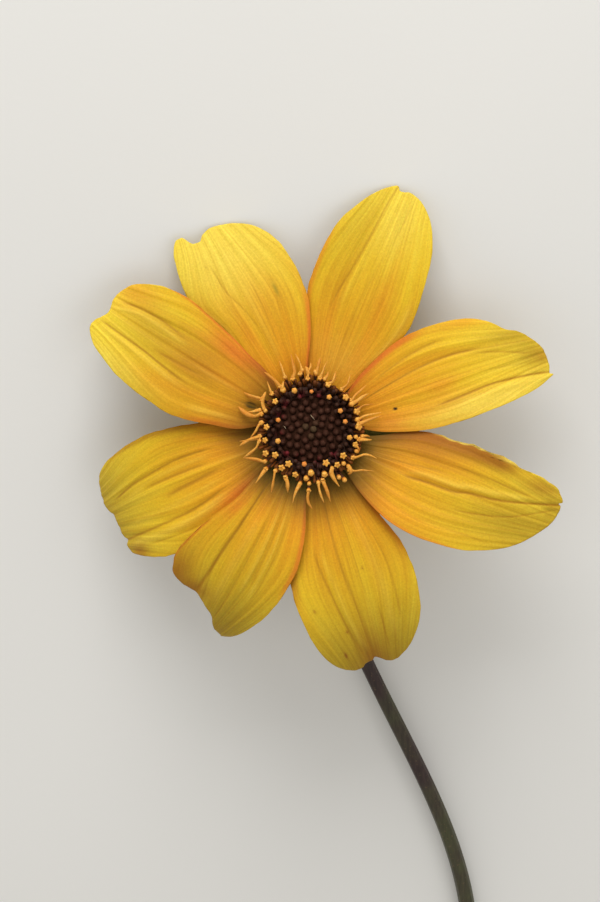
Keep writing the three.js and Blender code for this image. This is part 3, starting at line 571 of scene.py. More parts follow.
class DiscSettings(bpy.types.PropertyGroup):
    """Sizes and colours of the florets in the disc"""
    closed_count: IntProperty(name="Closed florets", description="How many there are", min=1, default=50)
    closed_size: length("Closed floret", "Half width of a closed floret", 0.68)
    mouth: length("Mouth", "Half width of the mouth of an open floret", 0.61)
    # Gaps: painted shade low on the closed buds, where they crowd, and the own dark colour of the tubes in
    # the ring
    dark: colour("Gaps", "Colour between the florets", (55, 31, 19))
    bud: colour("Buds", "Colour of the closed florets", (62, 34, 24))
    gold: colour("Gold", "Colour of the open florets", (210, 142, 46))
    pale: colour("Pale gold", "Colour of the outer lobes", (236, 186, 92))
    orange: colour("Orange", "Colour of the youngest open florets", (214, 122, 54))


class GreenSettings(bpy.types.PropertyGroup):
    """Sizes and colours of bracts and stem"""
    thickness: length("Bract thickness", "Thickness of a bract", 0.42)
    inner: colour("Inner bracts", "Colour of the thin inner bracts", (140, 148, 74))
    outer: colour("Outer bracts", "Colour of the leafy outer bracts", (70, 86, 52))
    bronze: colour("Bronze", "Dark colour of the stem", (62, 44, 40))
    green: colour("Green", "Green of the stem", (84, 92, 50))


class StageSettings(bpy.types.PropertyGroup):
    """Floor, light and camera"""
    floor: colour("Floor", "Colour of the floor", (242, 241, 237))
    key: watts("Key light", "Strength of the soft light", 9)
    fill: watts("Fill light", "Strength of the weaker light", 0.8)
    sky: amount("Sky", "Strength of the light from all round", 0.5)


# Node trees

def entry(sockets, key):
    """Input or output of a node by its number, or the first one in use that has the name."""
    if isinstance(key, int):
        return sockets[key]
    return next(s for s in sockets if s.name == key and not s.is_unavailable)


def add(tree, kind, inputs=None, **settings):
    """New node with its settings, and its inputs set to values or linked to other nodes."""
    node = tree.nodes.new(kind)
    for name, value in settings.items():
        setattr(node, name, value)
    for key, value in (inputs or {}).items():
        if isinstance(value, bpy.types.Node):
            value = entry(value.outputs, 0)
        if isinstance(value, bpy.types.NodeSocket):
            tree.links.new(value, entry(node.inputs, key))
        else:
            entry(node.inputs, key).default_value = value
    return node


def calc(tree, operation, *values):
    return add(tree, "ShaderNodeMath", dict(enumerate(values)), operation=operation)


def vector_calc(tree, operation, inputs):
    return add(tree, "ShaderNodeVectorMath", inputs, operation=operation)


def new_tree(name, **inputs):
    """Geometry tree with named inputs, each given as its kind and its value before it is set."""
    tree = bpy.data.node_groups.new(name, "GeometryNodeTree")
    tree.is_modifier = True
    tree.interface.new_socket("Geometry", in_out="INPUT", socket_type="NodeSocketGeometry")
    for label, (kind, default) in inputs.items():
        label = label.replace("_", " ")
        socket = tree.interface.new_socket(label, in_out="INPUT", socket_type="NodeSocket" + kind)
        if default is not None:
            socket.default_value = default
    tree.interface.new_socket("Material", in_out="INPUT", socket_type="NodeSocketMaterial")
    tree.interface.new_socket("Geometry", in_out="OUTPUT", socket_type="NodeSocketGeometry")
    return tree, tree.nodes.new("NodeGroupInput").outputs


def close_tree(tree, geometry, material):
    """Ends a tree in plain geometry with one material."""
    realized = add(tree, "GeometryNodeRealizeInstances", {"Geometry": geometry})
    coloured = add(tree, "GeometryNodeSetMaterial", {"Geometry": realized, "Material": material})
    add(tree, "NodeGroupOutput", {"Geometry": coloured})
    return tree


def grow(base, tree, values):
    """Runs a tree on an object and keeps the result as the object's own plain mesh."""
    modifier = base.modifiers.new(tree.name, "NODES")
    modifier.node_group = tree
    sockets = [item for item in tree.interface.items_tree if item.in_out == "INPUT"]
    for socket in sockets:
        if socket.name in values:
            modifier[socket.identifier] = values[socket.name]
    graph = bpy.context.evaluated_depsgraph_get()
    grown = base.evaluated_get(graph)
    mesh = bpy.data.meshes.new_from_object(grown, preserve_all_data_layers=True, depsgraph=graph)
    base.modifiers.remove(modifier)
    mesh.name = base.name
    base.data = mesh
    return base


def chance(tree, seed, low=0.0, high=1.0, kind="FLOAT"):
    """A number or direction for each point that its seed decides."""
    return add(tree, "FunctionNodeRandomValue", {"Min": low, "Max": high, "Seed": seed}, data_type=kind)


def stored(tree, points, name, value):
    """Points that carry a number from here on."""
    inputs = {"Geometry": points, "Name": name, "Value": value}
    return add(tree, "GeometryNodeStoreNamedAttribute", inputs, domain="POINT")


def read(tree, name, kind="FLOAT"):
    """What the points carry under a name."""
    return add(tree, "GeometryNodeInputNamedAttribute", {"Name": name}, data_type=kind)


def copies(tree, points, shape, **inputs):
    """Copies of a shape, one on each point."""
    source = add(tree, "GeometryNodeObjectInfo", {"Object": shape})
    inputs |= {"Points": points, "Instance": entry(source.outputs, "Geometry")}
    return add(tree, "GeometryNodeInstanceOnPoints", inputs)


def spun(tree, stood, luck):
    """Copies turned about their own axes, each by chance."""
    spin = add(tree, "ShaderNodeCombineXYZ", {"Z": calc(tree, "MULTIPLY", luck, FLORET_SPIN)})
    inputs = {"Instances": stood, "Rotation": spin, "Local Space": True}
    return add(tree, "GeometryNodeRotateInstances", inputs)


def joined(tree, *parts):
    """Several geometries as one."""
    whole = add(tree, "GeometryNodeJoinGeometry")
    for part in parts:
        source = part.outputs[0] if isinstance(part, bpy.types.Node) else part
        tree.links.new(source, whole.inputs[0])
    return whole


def spiral_tree():
    """Florets in a spiral on a low dome, each on the golden angle from the last."""
    tree, given = new_tree(
        "spiral_florets", Floret=("Object", None), Count=("Int", 50), Spacing=("Float", 0.84 * MM),
        Rim=("Float", DISC_RADIUS * MM), Centre_Height=("Float", DOME_CENTRE * MM),
        Edge_Height=("Float", DOME_EDGE * MM), Lean=("Float", math.radians(14)),
        Scatter=("Float", 0.22), Shift=("Float", 0.12 * MM), Seed=("Int", 4),
    )
    index = add(tree, "GeometryNodeInputIndex")
    root = calc(tree, "SQRT", calc(tree, "ADD", index, 0.5))
    radius = calc(tree, "MULTIPLY", root, given["Spacing"])
    share = calc(tree, "DIVIDE", radius, given["Rim"])
    angle = calc(tree, "MULTIPLY", index, GOLDEN_ANGLE)
    fall = calc(tree, "SUBTRACT", given["Edge Height"], given["Centre Height"])
    square = calc(tree, "MULTIPLY", share, share)
    place = add(tree, "ShaderNodeCombineXYZ", {
        "X": calc(tree, "MULTIPLY", radius, calc(tree, "COSINE", angle)),
        "Y": calc(tree, "MULTIPLY", radius, calc(tree, "SINE", angle)),
        "Z": calc(tree, "MULTIPLY_ADD", square, fall, given["Centre Height"]),
    })
    aside = chance(tree, given["Seed"], (-1, -1, -0.6), (1, 1, 0.6), "FLOAT_VECTOR")
    shifted = vector_calc(tree, "SCALE", {0: aside, "Scale": given["Shift"]})
    moved = vector_calc(tree, "ADD", {0: place, 1: shifted})
    points = add(tree, "GeometryNodePoints", {"Count": given["Count"], "Position": moved})
    luck = chance(tree, given["Seed"])
    lucky = stored(tree, stored(tree, points, "share", share), "luck", luck)
    lean = calc(tree, "MULTIPLY", share, given["Lean"])
    rotation = add(tree, "ShaderNodeCombineXYZ", {"X": 0.0, "Y": lean, "Z": angle})
    size = calc(tree, "MULTIPLY_ADD", calc(tree, "SUBTRACT", luck, 0.5), given["Scatter"], 1.0)
    stood = copies(tree, lucky, given["Floret"], Rotation=rotation, Scale=size)
    return close_tree(tree, joined(tree, given["Geometry"], spun(tree, stood, luck)), given["Material"])


def rooted_tree():
    """Florets that stand on given points, along the aim and in the size that each point carries."""
    tree, given = new_tree("rooted_florets", Floret=("Object", None), Seed=("Int", 3))
    luck = chance(tree, given["Seed"])
    lucky = stored(tree, given["Geometry"], "luck", luck)
    aim = {"Vector": read(tree, "aim", "FLOAT_VECTOR")}
    rotation = add(tree, "FunctionNodeAlignRotationToVector", aim, axis="Z")
    stood = copies(tree, lucky, given["Floret"], Rotation=rotation, Scale=read(tree, "size"))
    return close_tree(tree, spun(tree, stood, luck), given["Material"])


def ring_tree():
    """Bracts of one kind in a ring round the head's axis, on the collar that joins them."""
    tree, given = new_tree("bract_ring", Bract=("Object", None), Count=("Int", 8), Start=("Float", 0.0))
    index = add(tree, "GeometryNodeInputIndex")
    step = calc(tree, "DIVIDE", FULL_TURN, given["Count"])
    angle = calc(tree, "MULTIPLY_ADD", index, step, given["Start"])
    points = add(tree, "GeometryNodePoints", {"Count": given["Count"]})
    rotation = add(tree, "ShaderNodeCombineXYZ", {"Z": angle})
    stood = copies(tree, points, given["Bract"], Rotation=rotation)
    return close_tree(tree, joined(tree, given["Geometry"], stood), given["Material"])


def swept_tree():
    """Round strands along given paths, as thick as the path says at each point, with low ribs."""
    tree, given = new_tree(
        "swept_strands", Sides=("Int", 8), Ribs=("Int", 5), Rib_Depth=("Float", 0.1),
        Twist=("Float", 0.0), Steps=("Int", 3),
    )
    path = add(tree, "GeometryNodeMeshToCurve", {"Mesh": given["Geometry"]})
    smooth = add(tree, "GeometryNodeCurveSplineType", {"Curve": path}, spline_type="CATMULL_ROM")
    fineness = {"Geometry": smooth, "Resolution": given["Steps"]}
    fine = add(tree, "GeometryNodeSetSplineResolution", fineness)
    index = add(tree, "GeometryNodeInputIndex")
    twist = {"Curve": fine, "Tilt": calc(tree, "MULTIPLY", index, given["Twist"])}
    turned = add(tree, "GeometryNodeSetCurveTilt", twist)
    size = {"Resolution": given["Sides"], "Radius": 1.0}
    ring = add(tree, "GeometryNodeCurvePrimitiveCircle", size, mode="RADIUS")
    round_share = calc(tree, "DIVIDE", calc(tree, "MULTIPLY", index, given["Ribs"]), given["Sides"])
    rib = calc(tree, "COSINE", calc(tree, "MULTIPLY", round_share, FULL_TURN))
    depth = calc(tree, "MULTIPLY", given["Rib Depth"], 0.5)
    inward = calc(tree, "MULTIPLY", calc(tree, "SUBTRACT", rib, 1.0), depth)
    place = add(tree, "GeometryNodeInputPosition")
    ribbed = vector_calc(tree, "SCALE", {0: place, "Scale": calc(tree, "ADD", inward, 1.0)})
    profile = add(tree, "GeometryNodeSetPosition", {"Geometry": ring, "Position": ribbed})
    thick = read(tree, "thick").outputs["Attribute"]
    body = add(tree, "GeometryNodeCurveToMesh", {
        "Curve": turned, "Profile Curve": profile, "Scale": thick, "Fill Caps": True,
    })
    return close_tree(tree, body, given["Material"])


# Meshes

def make_object(name, points, faces, edges=()):
    """Object with a plain mesh from points in metres."""
    mesh = bpy.data.meshes.new(name)
    mesh.from_pydata([tuple(p) for p in points], list(edges), [tuple(f) for f in faces])
    mesh.update()
    piece = bpy.data.objects.new(name, mesh)
    bpy.context.scene.collection.objects.link(piece)
    return piece


def mark(piece, name, values):
    """Number, direction or colour that the mesh carries at each point."""
    values = np.asarray(values, dtype=np.float32)
    kinds = {1: ("FLOAT", "value"), 3: ("FLOAT_VECTOR", "vector"), 4: ("FLOAT_COLOR", "color")}
    kind, field = kinds[values[0].size]
    attribute = piece.data.attributes.new(name, kind, "POINT")
    attribute.data.foreach_set(field, values.ravel())


def drop(*pieces):
    """Removes helper objects with their meshes."""
    for piece in pieces:
        mesh = piece.data
        bpy.data.objects.remove(piece)
        bpy.data.meshes.remove(mesh)


def join(name, pieces):
    """One object from several, with all that their points carry."""
    with bpy.context.temp_override(active_object=pieces[0], selected_editable_objects=pieces):
        bpy.ops.object.join()
    pieces[0].name = pieces[0].data.name = name
    return pieces[0]


def grid_faces(rows, columns, start, flipped):
    """Faces of a grid of points that are numbered row by row from start."""
    faces = []
    for i in range(rows):
        for j in range(columns):
            a = start + i * (columns + 1) + j
            face = (a, a + columns + 1, a + columns + 2, a + 1)
            faces.append(face[::-1] if flipped else face)
    return faces


def blade(name, rows, columns, place, paint, lay):
    """Thin closed blade. place and paint take u from base to tip, v from -1 to 1 across, and side 1
    on the upper face or -1 on the lower one, and give the points and their colours. lay takes u and v
    and gives the place of a point on the flat pattern of lines."""
    even = np.linspace(-1, 1, columns + 1)
    u, v = np.meshgrid(np.linspace(0, 1, rows + 1), 0.5 * (even + np.sin(np.pi / 2 * even)), indexing="ij")
    u, v = u.ravel(), v.ravel()
    points = np.concatenate([place(u, v, side) for side in (1, -1)])
    lower = len(u)
    faces = grid_faces(rows, columns, 0, False) + grid_faces(rows, columns, lower, True)
    rim = [i * (columns + 1) for i in range(rows)] + [rows * (columns + 1) + j for j in range(columns)]
    rim += [i * (columns + 1) + columns for i in range(rows, 0, -1)] + list(range(columns, 0, -1))
    for a, b in zip(rim, rim[1:] + rim[:1]):
        faces.append((a, a + lower, b + lower, b))
    piece = make_object(name, points * MM, faces)
    shades = np.concatenate([paint(u, v, side) for side in (1, -1)])
    mark(piece, "tint", np.column_stack([shades, np.ones(len(shades))]))
    layer = piece.data.uv_layers.new(name="UVMap")
    where = np.empty(len(piece.data.loops), dtype=np.int32)
    piece.data.loops.foreach_get("vertex_index", where)
    flat = np.stack(lay(u, v), axis=1)[where % lower]
    layer.data.foreach_set("uv", flat.astype(np.float32).ravel())
    piece.data.shade_smooth()
    return piece


def on_midline(shape, angle, radius, height, t, b, h):
    """Points of a blade whose midline starts at a radius and height and bends from one slope to
    another as it leaves the head's axis: t along it, b sideways and h off the surface."""
    start, end = (math.radians(slope) for slope in shape["rise"])
    turn = (end - start) / shape["length"]
    slope = start + (end - start) * t
    out = radius + (np.sin(slope) - math.sin(start)) / turn - h * np.sin(slope)
    up = height - (np.cos(slope) - math.cos(start)) / turn + h * np.cos(slope)
    c, s = math.cos(math.radians(angle)), math.sin(math.radians(angle))
    return np.stack([out * c - b * s, out * s + b * c, up], axis=1)


def lathe(name, profile, segments):
    """Closed turned shape round the head's axis from radius and height pairs in millimetres. A
    profile that starts on the axis ends on it."""
    points, faces, rings = [], [], []
    for radius, height in profile:
        if radius == 0:
            rings.append([len(points)] * segments)
            points.append((0, 0, height))
        else:
            rings.append(list(range(len(points), len(points) + segments)))
            for k in range(segments):
                turn = FULL_TURN * k / segments
                points.append((radius * math.cos(turn), radius * math.sin(turn), height))
    closed = profile[0][0] > 0
    for low, high in zip(rings, rings[1:] + (rings[:1] if closed else [])):
        for k in range(segments):
            n = (k + 1) % segments
            corners = [low[k], low[n], high[n], high[k]]
            faces.append(tuple(dict.fromkeys(corners)))
    return make_object(name, np.array(points) * MM, faces)


def smoothstep(x):
    """0 up to 0 and 1 from 1 on, with a smooth rise between."""
    x = np.clip(x, 0, 1)
    return x * x * (3 - 2 * x)


def bump_at(x, centre, half):
    """1 at the centre, falling to 0 a half width away."""
    return np.exp(-(((x - centre) / half) ** 2))


def smooth_curve(points, x):
    """Height at x of a smooth curve through points, which never bulges beyond them."""
    places, heights = np.array(points, dtype=float).T
    gaps = np.diff(places)
    slopes = np.diff(heights) / gaps
    bends = np.concatenate([slopes[:1], np.zeros(len(slopes) - 1), slopes[-1:]])
    for k in range(1, len(slopes)):
        if slopes[k - 1] * slopes[k] > 0:
            before, after = 2 * gaps[k] + gaps[k - 1], gaps[k] + 2 * gaps[k - 1]
            bends[k] = (before + after) / (before / slopes[k - 1] + after / slopes[k])
    k = np.clip(np.searchsorted(places, x) - 1, 0, len(gaps) - 1)
    s = np.clip((x - places[k]) / gaps[k], 0, 1)
    ends = heights[k] * (1 + 2 * s) * (1 - s) ** 2 + heights[k + 1] * s * s * (3 - 2 * s)
    return ends + gaps[k] * (bends[k] * s * (1 - s) ** 2 + bends[k + 1] * s * s * (s - 1))


# Materials

def new_material(name, roughness, sheen=0.0, specular=0.3):
    """New material, its tree and the one shader in it."""
    material = bpy.data.materials.new(name)
    material.use_nodes = True
    tree = material.node_tree
    tree.nodes.clear()
    shader = add(tree, "ShaderNodeBsdfPrincipled", {
        "Roughness": roughness, "Sheen Weight": sheen, "Sheen Roughness": 0.5,
        "Specular IOR Level": specular,
    })
    add(tree, "ShaderNodeOutputMaterial", {"Surface": shader})
    return material, tree, shader


def carried(tree, name, output="Fac"):
    """What the mesh carries under a name, as a number or a colour."""
    return add(tree, "ShaderNodeAttribute", attribute_name=name).outputs[output]


def object_place(tree):
    return add(tree, "ShaderNodeTexCoord").outputs["Object"]


def own_map(tree):
    """Place on the piece's own flat pattern: across it and along it."""
    return add(tree, "ShaderNodeUVMap", uv_map="UVMap").outputs[0]


def noise(tree, vector, scale, stretch=(1, 1, 1), detail=3.0):
    """Cloudy pattern from about 0.3 to 0.7, finer along the directions that are stretched more."""
    placed = add(tree, "ShaderNodeMapping", {"Vector": vector, "Scale": stretch})
    looks = {"Vector": placed, "Scale": scale, "Detail": detail, "Roughness": 0.6}
    return add(tree, "ShaderNodeTexNoise", looks).outputs[0]


def ranged(tree, value, low, high, least=0.0, most=1.0):
    """Value between low and high, spread out from the least to the most and held there beyond."""
    return add(tree, "ShaderNodeMapRange", {
        "Value": value, "From Min": low, "From Max": high, "To Min": least, "To Max": most,
    }).outputs[0]


def mixed(tree, share, a, b, mode="MIX"):
    """Colour that goes from a to b as the share goes from 0 to 1."""
    a, b = ((*x, 1.0) if isinstance(x, tuple) and len(x) == 3 else x for x in (a, b))
    inputs = {"Factor": share, "A": a, "B": b}
    node = add(tree, "ShaderNodeMix", inputs, data_type="RGBA", blend_type=mode)
    return entry(node.outputs, "Result")


def times(tree, body, factors):
    """Colour with its red, green and blue each times a factor."""
    return mixed(tree, 1.0, body, factors, "MULTIPLY")


def dimmed(tree, body, pattern, low, high, factors):
    """Colour times the factors where the pattern is low, and as it is where the pattern is high."""
    return mixed(tree, ranged(tree, pattern, low, high), times(tree, body, factors), body)


def paint_shader(tree, shader, body, relief, depth, roughness=None):
    """Gives a shader its colour, a fine relief as deep as given and, where given, its roughness."""
    tree.links.new(body, entry(shader.inputs, "Base Color"))
    if roughness is not None:
        tree.links.new(roughness, entry(shader.inputs, "Roughness"))
    bump = add(tree, "ShaderNodeBump", {"Height": relief, "Strength": 0.6, "Distance": depth})
    tree.links.new(bump.outputs[0], entry(shader.inputs, "Normal"))


def set_inputs(shader, values):
    for name, value in values.items():
        entry(shader.inputs, name).default_value = value


def petal_material():
    """Velvety petal: painted colours, fine veins along it and the grain of its cells."""
    material, tree, shader = new_material("velvet_petal", 0.66, sheen=0.05, specular=0.18)
    own, place = own_map(tree), object_place(tree)
    veins = noise(tree, own, 1.0, (40, 1.4, 1), detail=4.0)
    hairline = noise(tree, own, 1.0, (120, 4, 1), detail=2.0)
    grain = noise(tree, place, 3000.0)
    mottle = noise(tree, place, 240.0, detail=2.0)
    tint = carried(tree, "tint", "Color")
    deep = times(tree, tint, (0.86, 0.81, 0.66))
    light = times(tree, tint, (1.02, 1.05, 1.0))
    lined = mixed(tree, ranged(tree, veins, 0.34, 0.62), deep, light)
    fine = dimmed(tree, lined, hairline, 0.3, 0.7, (0.94, 0.91, 0.84))
    cloudy = times(tree, fine, (0.95, 0.91, 0.8))
    soft = mixed(tree, ranged(tree, mottle, 0.35, 0.65, 0.0, 0.5), fine, cloudy)
    speckled = dimmed(tree, soft, grain, 0.3, 0.7, (0.84, 0.8, 0.66))
    relief = calc(tree, "ADD", veins, calc(tree, "MULTIPLY", grain, 0.25))
    gloss = ranged(tree, grain, 0.3, 0.7, 0.55, 0.72)
    paint_shader(tree, shader, speckled, relief, 0.12 * MM, gloss)
    set_inputs(shader, {
        "Subsurface Weight": 0.12, "Subsurface Radius": (1.0, 0.5, 0.1),
        "Subsurface Scale": 0.6 * MM, "Sheen Tint": (1.0, 0.86, 0.5, 1.0),
    })
    return material


def bud_material(looks):
    """Closed florets: maroon brown buds, greener at the centre, with painted shade that goes nearly black
    low on each bud, where they crowd, and a painted highlight on each top.
    """
    material, tree, shader = new_material("closed_floret", 0.8, specular=0.06)
    top, share, luck = carried(tree, "top"), carried(tree, "share"), carried(tree, "luck")
    mottle = noise(tree, object_place(tree), 2600.0)
    bud = mixed(tree, luck, tuple(looks.bud), tone(50, 36, 30))
    olive = mixed(tree, ranged(tree, share, 0.3, 0.05, 0.0, 0.7), bud, tone(92, 80, 54))
    blush = calc(tree, "MULTIPLY", carried(tree, "crimson"), ranged(tree, top, 0.4, 0.9))
    red = mixed(tree, blush, olive, CRIMSON)
    # Painted highlight: lighter toward the top of each bud
    light = mixed(tree, ranged(tree, top, 0.6, 1.0, 0.0, 0.4), red, tone(88, 62, 48))
    # Painted shade: toward the Gaps colour low on each bud, where the buds crowd
    shaded = mixed(tree, ranged(tree, top, 0.2, 0.65), tuple(looks.dark), light)
    flecked = dimmed(tree, shaded, mottle, 0.35, 0.65, (0.6, 0.55, 0.5))
    paint_shader(tree, shader, flecked, mottle, 0.1 * MM)
    return material


def open_material(looks):
    """Open florets: dark purple brown tubes, gold mouths and strands, the youngest orange."""
    material, tree, shader = new_material("open_floret", 0.62, specular=0.15)
    gilt, young, luck = carried(tree, "gilt"), carried(tree, "young"), carried(tree, "luck")
    grain = noise(tree, object_place(tree), 3000.0)
    gold = mixed(tree, ranged(tree, grain, 0.35, 0.7), tuple(looks.gold), tuple(looks.pale))
    deep = mixed(tree, ranged(tree, gilt, 0.75, 1.0), tone(190, 116, 32), gold)
    ripe = mixed(tree, young, deep, tuple(looks.orange))
    dark = mixed(tree, luck, tuple(looks.dark), tone(88, 42, 22))
    tube = mixed(tree, calc(tree, "MULTIPLY", young, 0.8), dark, tone(142, 80, 26))
    red = mixed(tree, carried(tree, "crimson"), tube, CRIMSON)
    gilded = mixed(tree, ranged(tree, gilt, 0.35, 0.62), red, ripe)
    body = mixed(tree, ranged(tree, gilt, 1.05, 1.2), gilded, tone(168, 146, 118))
    paint_shader(tree, shader, body, grain, 0.1 * MM)
    set_inputs(shader, {"Subsurface Weight": 0.08, "Subsurface Scale": 0.3 * MM})
    return material


def leaf_material(name, inner, bronze, roughness):
    """Bract: veins along it, mottled, with a bronze blush that its points carry."""
    material, tree, shader = new_material(name, roughness, specular=0.35)
    veins = noise(tree, own_map(tree), 1.0, (22, 1.4, 1))
    mottle = noise(tree, object_place(tree), 900.0)
    base = mixed(tree, carried(tree, "tint", "Color"), inner, bronze)
    lined = dimmed(tree, base, veins, 0.4, 0.62, (0.66, 0.7, 0.62))
    warmer = times(tree, lined, (1.2, 1.1, 0.9))
    varied = mixed(tree, ranged(tree, mottle, 0.35, 0.65, 0.0, 0.6), lined, warmer)
    paint_shader(tree, shader, varied, veins, 0.15 * MM)
    return material


def stem_material(looks):
    """Stem: bronze and green in long streaks, greener under the head, pale at the cut."""
    material, tree, shader = new_material("bronze_stem", 0.5, specular=0.4)
    place = object_place(tree)
    streak = noise(tree, place, 1.0, (2200, 90, 2200))
    patch = noise(tree, place, 60.0)
    spots = noise(tree, place, 1800.0, detail=1.0)
    green_share = calc(tree, "MULTIPLY", ranged(tree, patch, 0.42, 0.66), 0.6)
    near_head = ranged(tree, carried(tree, "age"), 0.16, 0.02)
    greenest = calc(tree, "MAXIMUM", green_share, near_head)
    base = mixed(tree, greenest, tuple(looks.bronze), tuple(looks.green))
    streaked = dimmed(tree, base, streak, 0.35, 0.65, (0.6, 0.58, 0.55))
    spotted = mixed(tree, ranged(tree, spots, 0.66, 0.72, 0.0, 0.5), streaked, tone(112, 92, 66))
    wood = mixed(tree, ranged(tree, spots, 0.3, 0.7), tone(168, 170, 112), tone(196, 196, 142))
    cut = mixed(tree, carried(tree, "cut"), spotted, wood)
    paint_shader(tree, shader, cut, streak, 0.2 * MM)
    return material


# Ray petals

def petal_width(petal, t):
    """Width of a petal along its midline, as a share of its widest half width."""
    widest = petal["widest"]
    inner = CLAW_SHARE + (1 - CLAW_SHARE) * np.sin(math.pi / 2 * np.minimum(t / widest, 1))
    outer = 1 - TIP_NARROWING * ((t - widest) / (1 - widest)) ** 2
    return np.where(t < widest, inner, outer)


def margin_swell(petal, t, v, phases):
    """Sideways shift of a point where a margin swells, draws in or is ruffled."""
    wave = sum(size * np.sin(rate * t + phase) for (rate, size), phase in zip(RUFFLES, phases))
    left, right = petal["ruffle"]
    shift = np.where(v > 0, left, -right) * wave * v ** 8 * smoothstep((t - 0.2) / 0.3)
    for side, amounts in zip((1, -1), petal["margins"]):
        swell = sum(amount * bump_at(t, *place) for amount, place in zip(amounts, MARGIN_PLACES))
        shift += np.where(v * side > 0, side * v * v * swell, 0)
    return shift


def vein_place(t, v):
    """Place of the vein through a point: the veins run together toward the tip."""
    return v / (1 - VEIN_GATHER * smoothstep((t - 0.45) / 0.6))


def between(t, low, high, fade_in, fade_out):
    """1 between two places along a petal, fading to 0 over the given lengths round them."""
    return smoothstep((t - low) / fade_in + 0.5) * smoothstep((high - t) / fade_out + 0.5)


def crease_height(petal, t, v, share=1.0):
    """Height of the creases: grooves go down and ridges up, and both fade at their ends. share
    narrows them."""
    height = np.zeros_like(t)
    for rise, half, course in petal["creases"]:
        inside = between(t, course[0][0], course[-1][0], 0.12, 0.1)
        height += rise * inside * bump_at(v, smooth_curve(course, t), half * share)
    return height


def petal_relief(petal, t, v, looks, phases):
    """Height of a petal's surface: lobes, lifted margins, creases, fine ridges, waves, bent tip."""
    grown = np.clip(t / CLAW_END, 0, 1)
    lobes = LOBE_HEIGHT * (np.cos(1.5 * math.pi * v) ** 2 + 0.015) ** 0.4
    farther = smoothstep((t - 0.35) / 0.3)
    left, right = (near + (far - near) * farther for near, far in petal["edge"])
    margin = np.where(v > 0, left, right) * np.abs(v) ** 3
    creases = looks.crease * crease_height(petal, t, v, CREASE_SHARE)
    form = (lobes + margin + creases) * grown + CLAW_CHANNEL * v * v * (1 - grown)
    vein = vein_place(t, v)
    ridges = np.zeros_like(t)
    for (rate, size), phase in zip(RIDGES, phases):
        ridges += size * np.cos(math.pi * rate * vein + phase + 1.1 * np.sin(2.2 * t + phase))
    ridges *= (1 - v ** 6) * (0.35 + 0.65 * grown) * looks.ridge / MM
    slow = np.sin(5.1 * t + phases[3]) * v + 0.8 * np.sin(7.3 * t + phases[4]) * v * v
    slow += 0.5 * np.sin(3.7 * t + phases[5])
    bend = petal["curl"] * np.maximum((t - CURL_START) / (1 - CURL_START), 0) ** 2
    return form + ridges + slow * grown * looks.wave / MM - bend


def soft_floor(height, least):
    """Keeps a height above the least one, with a soft bend where it meets it."""
    return 0.5 * (height + least + np.sqrt((height - least) ** 2 + 0.06)) - 0.04


def blend(body, share, shade):
    """Colours moved toward one shade by a share of their own at each point."""
    return body + share[:, None] * (np.array(shade) - body)


def petal_colours(petal, t, v, looks, phases):
    """Colour of a petal at each point: amber to yellow outward, strips and patches, several of them painted
    shade and a few painted light, painted shade in the grooves and highlight on the ridges, and painted
    shade at the claw.
    """
    vein = vein_place(t, v)
    drift = sum(size * np.cos(rate * vein + phase) for (rate, size), phase in zip(DRIFTS, phases))
    far = t + drift * smoothstep(t / 0.3)
    stops = {0.12: looks.base, 0.36: looks.middle, 0.64: looks.outer, 0.9: looks.tip}
    channels = zip(*stops.values())
    body = np.stack([np.interp(far, list(stops), channel) for channel in channels], axis=1)
    flush = smoothstep((np.abs(v) - 0.62) / 0.38) * smoothstep(1 - t / 0.4)
    body = blend(body, 0.35 * flush, looks.margin)
    # Strips and patches: own marks, with painted shade and painted light where each petal's comments say
    for name, share, side, start, low, high in petal["strips"]:
        across = smoothstep((v * side - start) / (1 - start) * 1.6)
        body = blend(body, share * across * between(t, low, high, 0.1, 0.16), TINTS[name])
    for name, share, place, across, half, width in petal["patches"]:
        near = bump_at(t, place, half) * bump_at(v, across, width)
        body = blend(body, np.minimum(share * near, 1), TINTS[name])
    # Painted highlight on the raised creases and painted shade along the sunk ones
    raised = np.clip(crease_height(petal, t, v) / 0.2, 0, 1)
    sunk = np.clip(-crease_height(petal, t, v, LINE_SHARE) / 0.13, 0, 1)
    body = blend(blend(body, raised * 0.4, looks.ridge_highlight), sunk * 0.8, looks.groove_shade)
    # Claw darkened by its own colour with painted shade from the disc, as strong as foot says
    return blend(body, petal["foot"] * smoothstep(1 - t / CLAW_END), looks.claw_and_shade)


def ray_petal(number, petal, looks):
    """One ray petal in the head's frame, lifted where it would sink into the table."""
    phases = np.random.default_rng(PETAL_SEED + number).uniform(0, FULL_TURN, 6)

    def along(u, v):
        return u * smooth_curve(petal["tip"], v)

    def place(u, v, side):
        t = along(u, v)
        half = np.where(v > 0, *petal["half"]) * petal_width(petal, t)
        b = v * half + petal["sweep"] * t * t + margin_swell(petal, t, v, phases)
        thin = (1 - 0.7 * np.abs(v) ** 8) * (1 - 0.7 * u ** 24)
        h = petal_relief(petal, t, v, looks, phases) + side * looks.thickness / MM / 2 * thin
        p = on_midline(petal, petal["angle"], CLAW_RADIUS, petal["base"], t, b, h)
        low = HEAD_CENTRE.z / MM + p @ TABLE_UP_IN_HEAD
        raised = np.maximum(soft_floor(low, TABLE_GAP[side]) - low, 0)
        lift = np.where(low < TABLE_NEAR, raised, 0)
        return p + lift[:, None] * TABLE_UP_IN_HEAD

    def paint(u, v, side):
        body = petal_colours(petal, along(u, v), v, looks, phases)
        return body * np.array(BACK_SHADE) if side < 0 else body

    def lay(u, v):
        t = along(u, v)
        return vein_place(t, v) * 0.5 + 0.5, t

    return blade(f"ray_petal_{number}", PETAL_ROWS, PETAL_COLUMNS, place, paint, lay)


# Florets

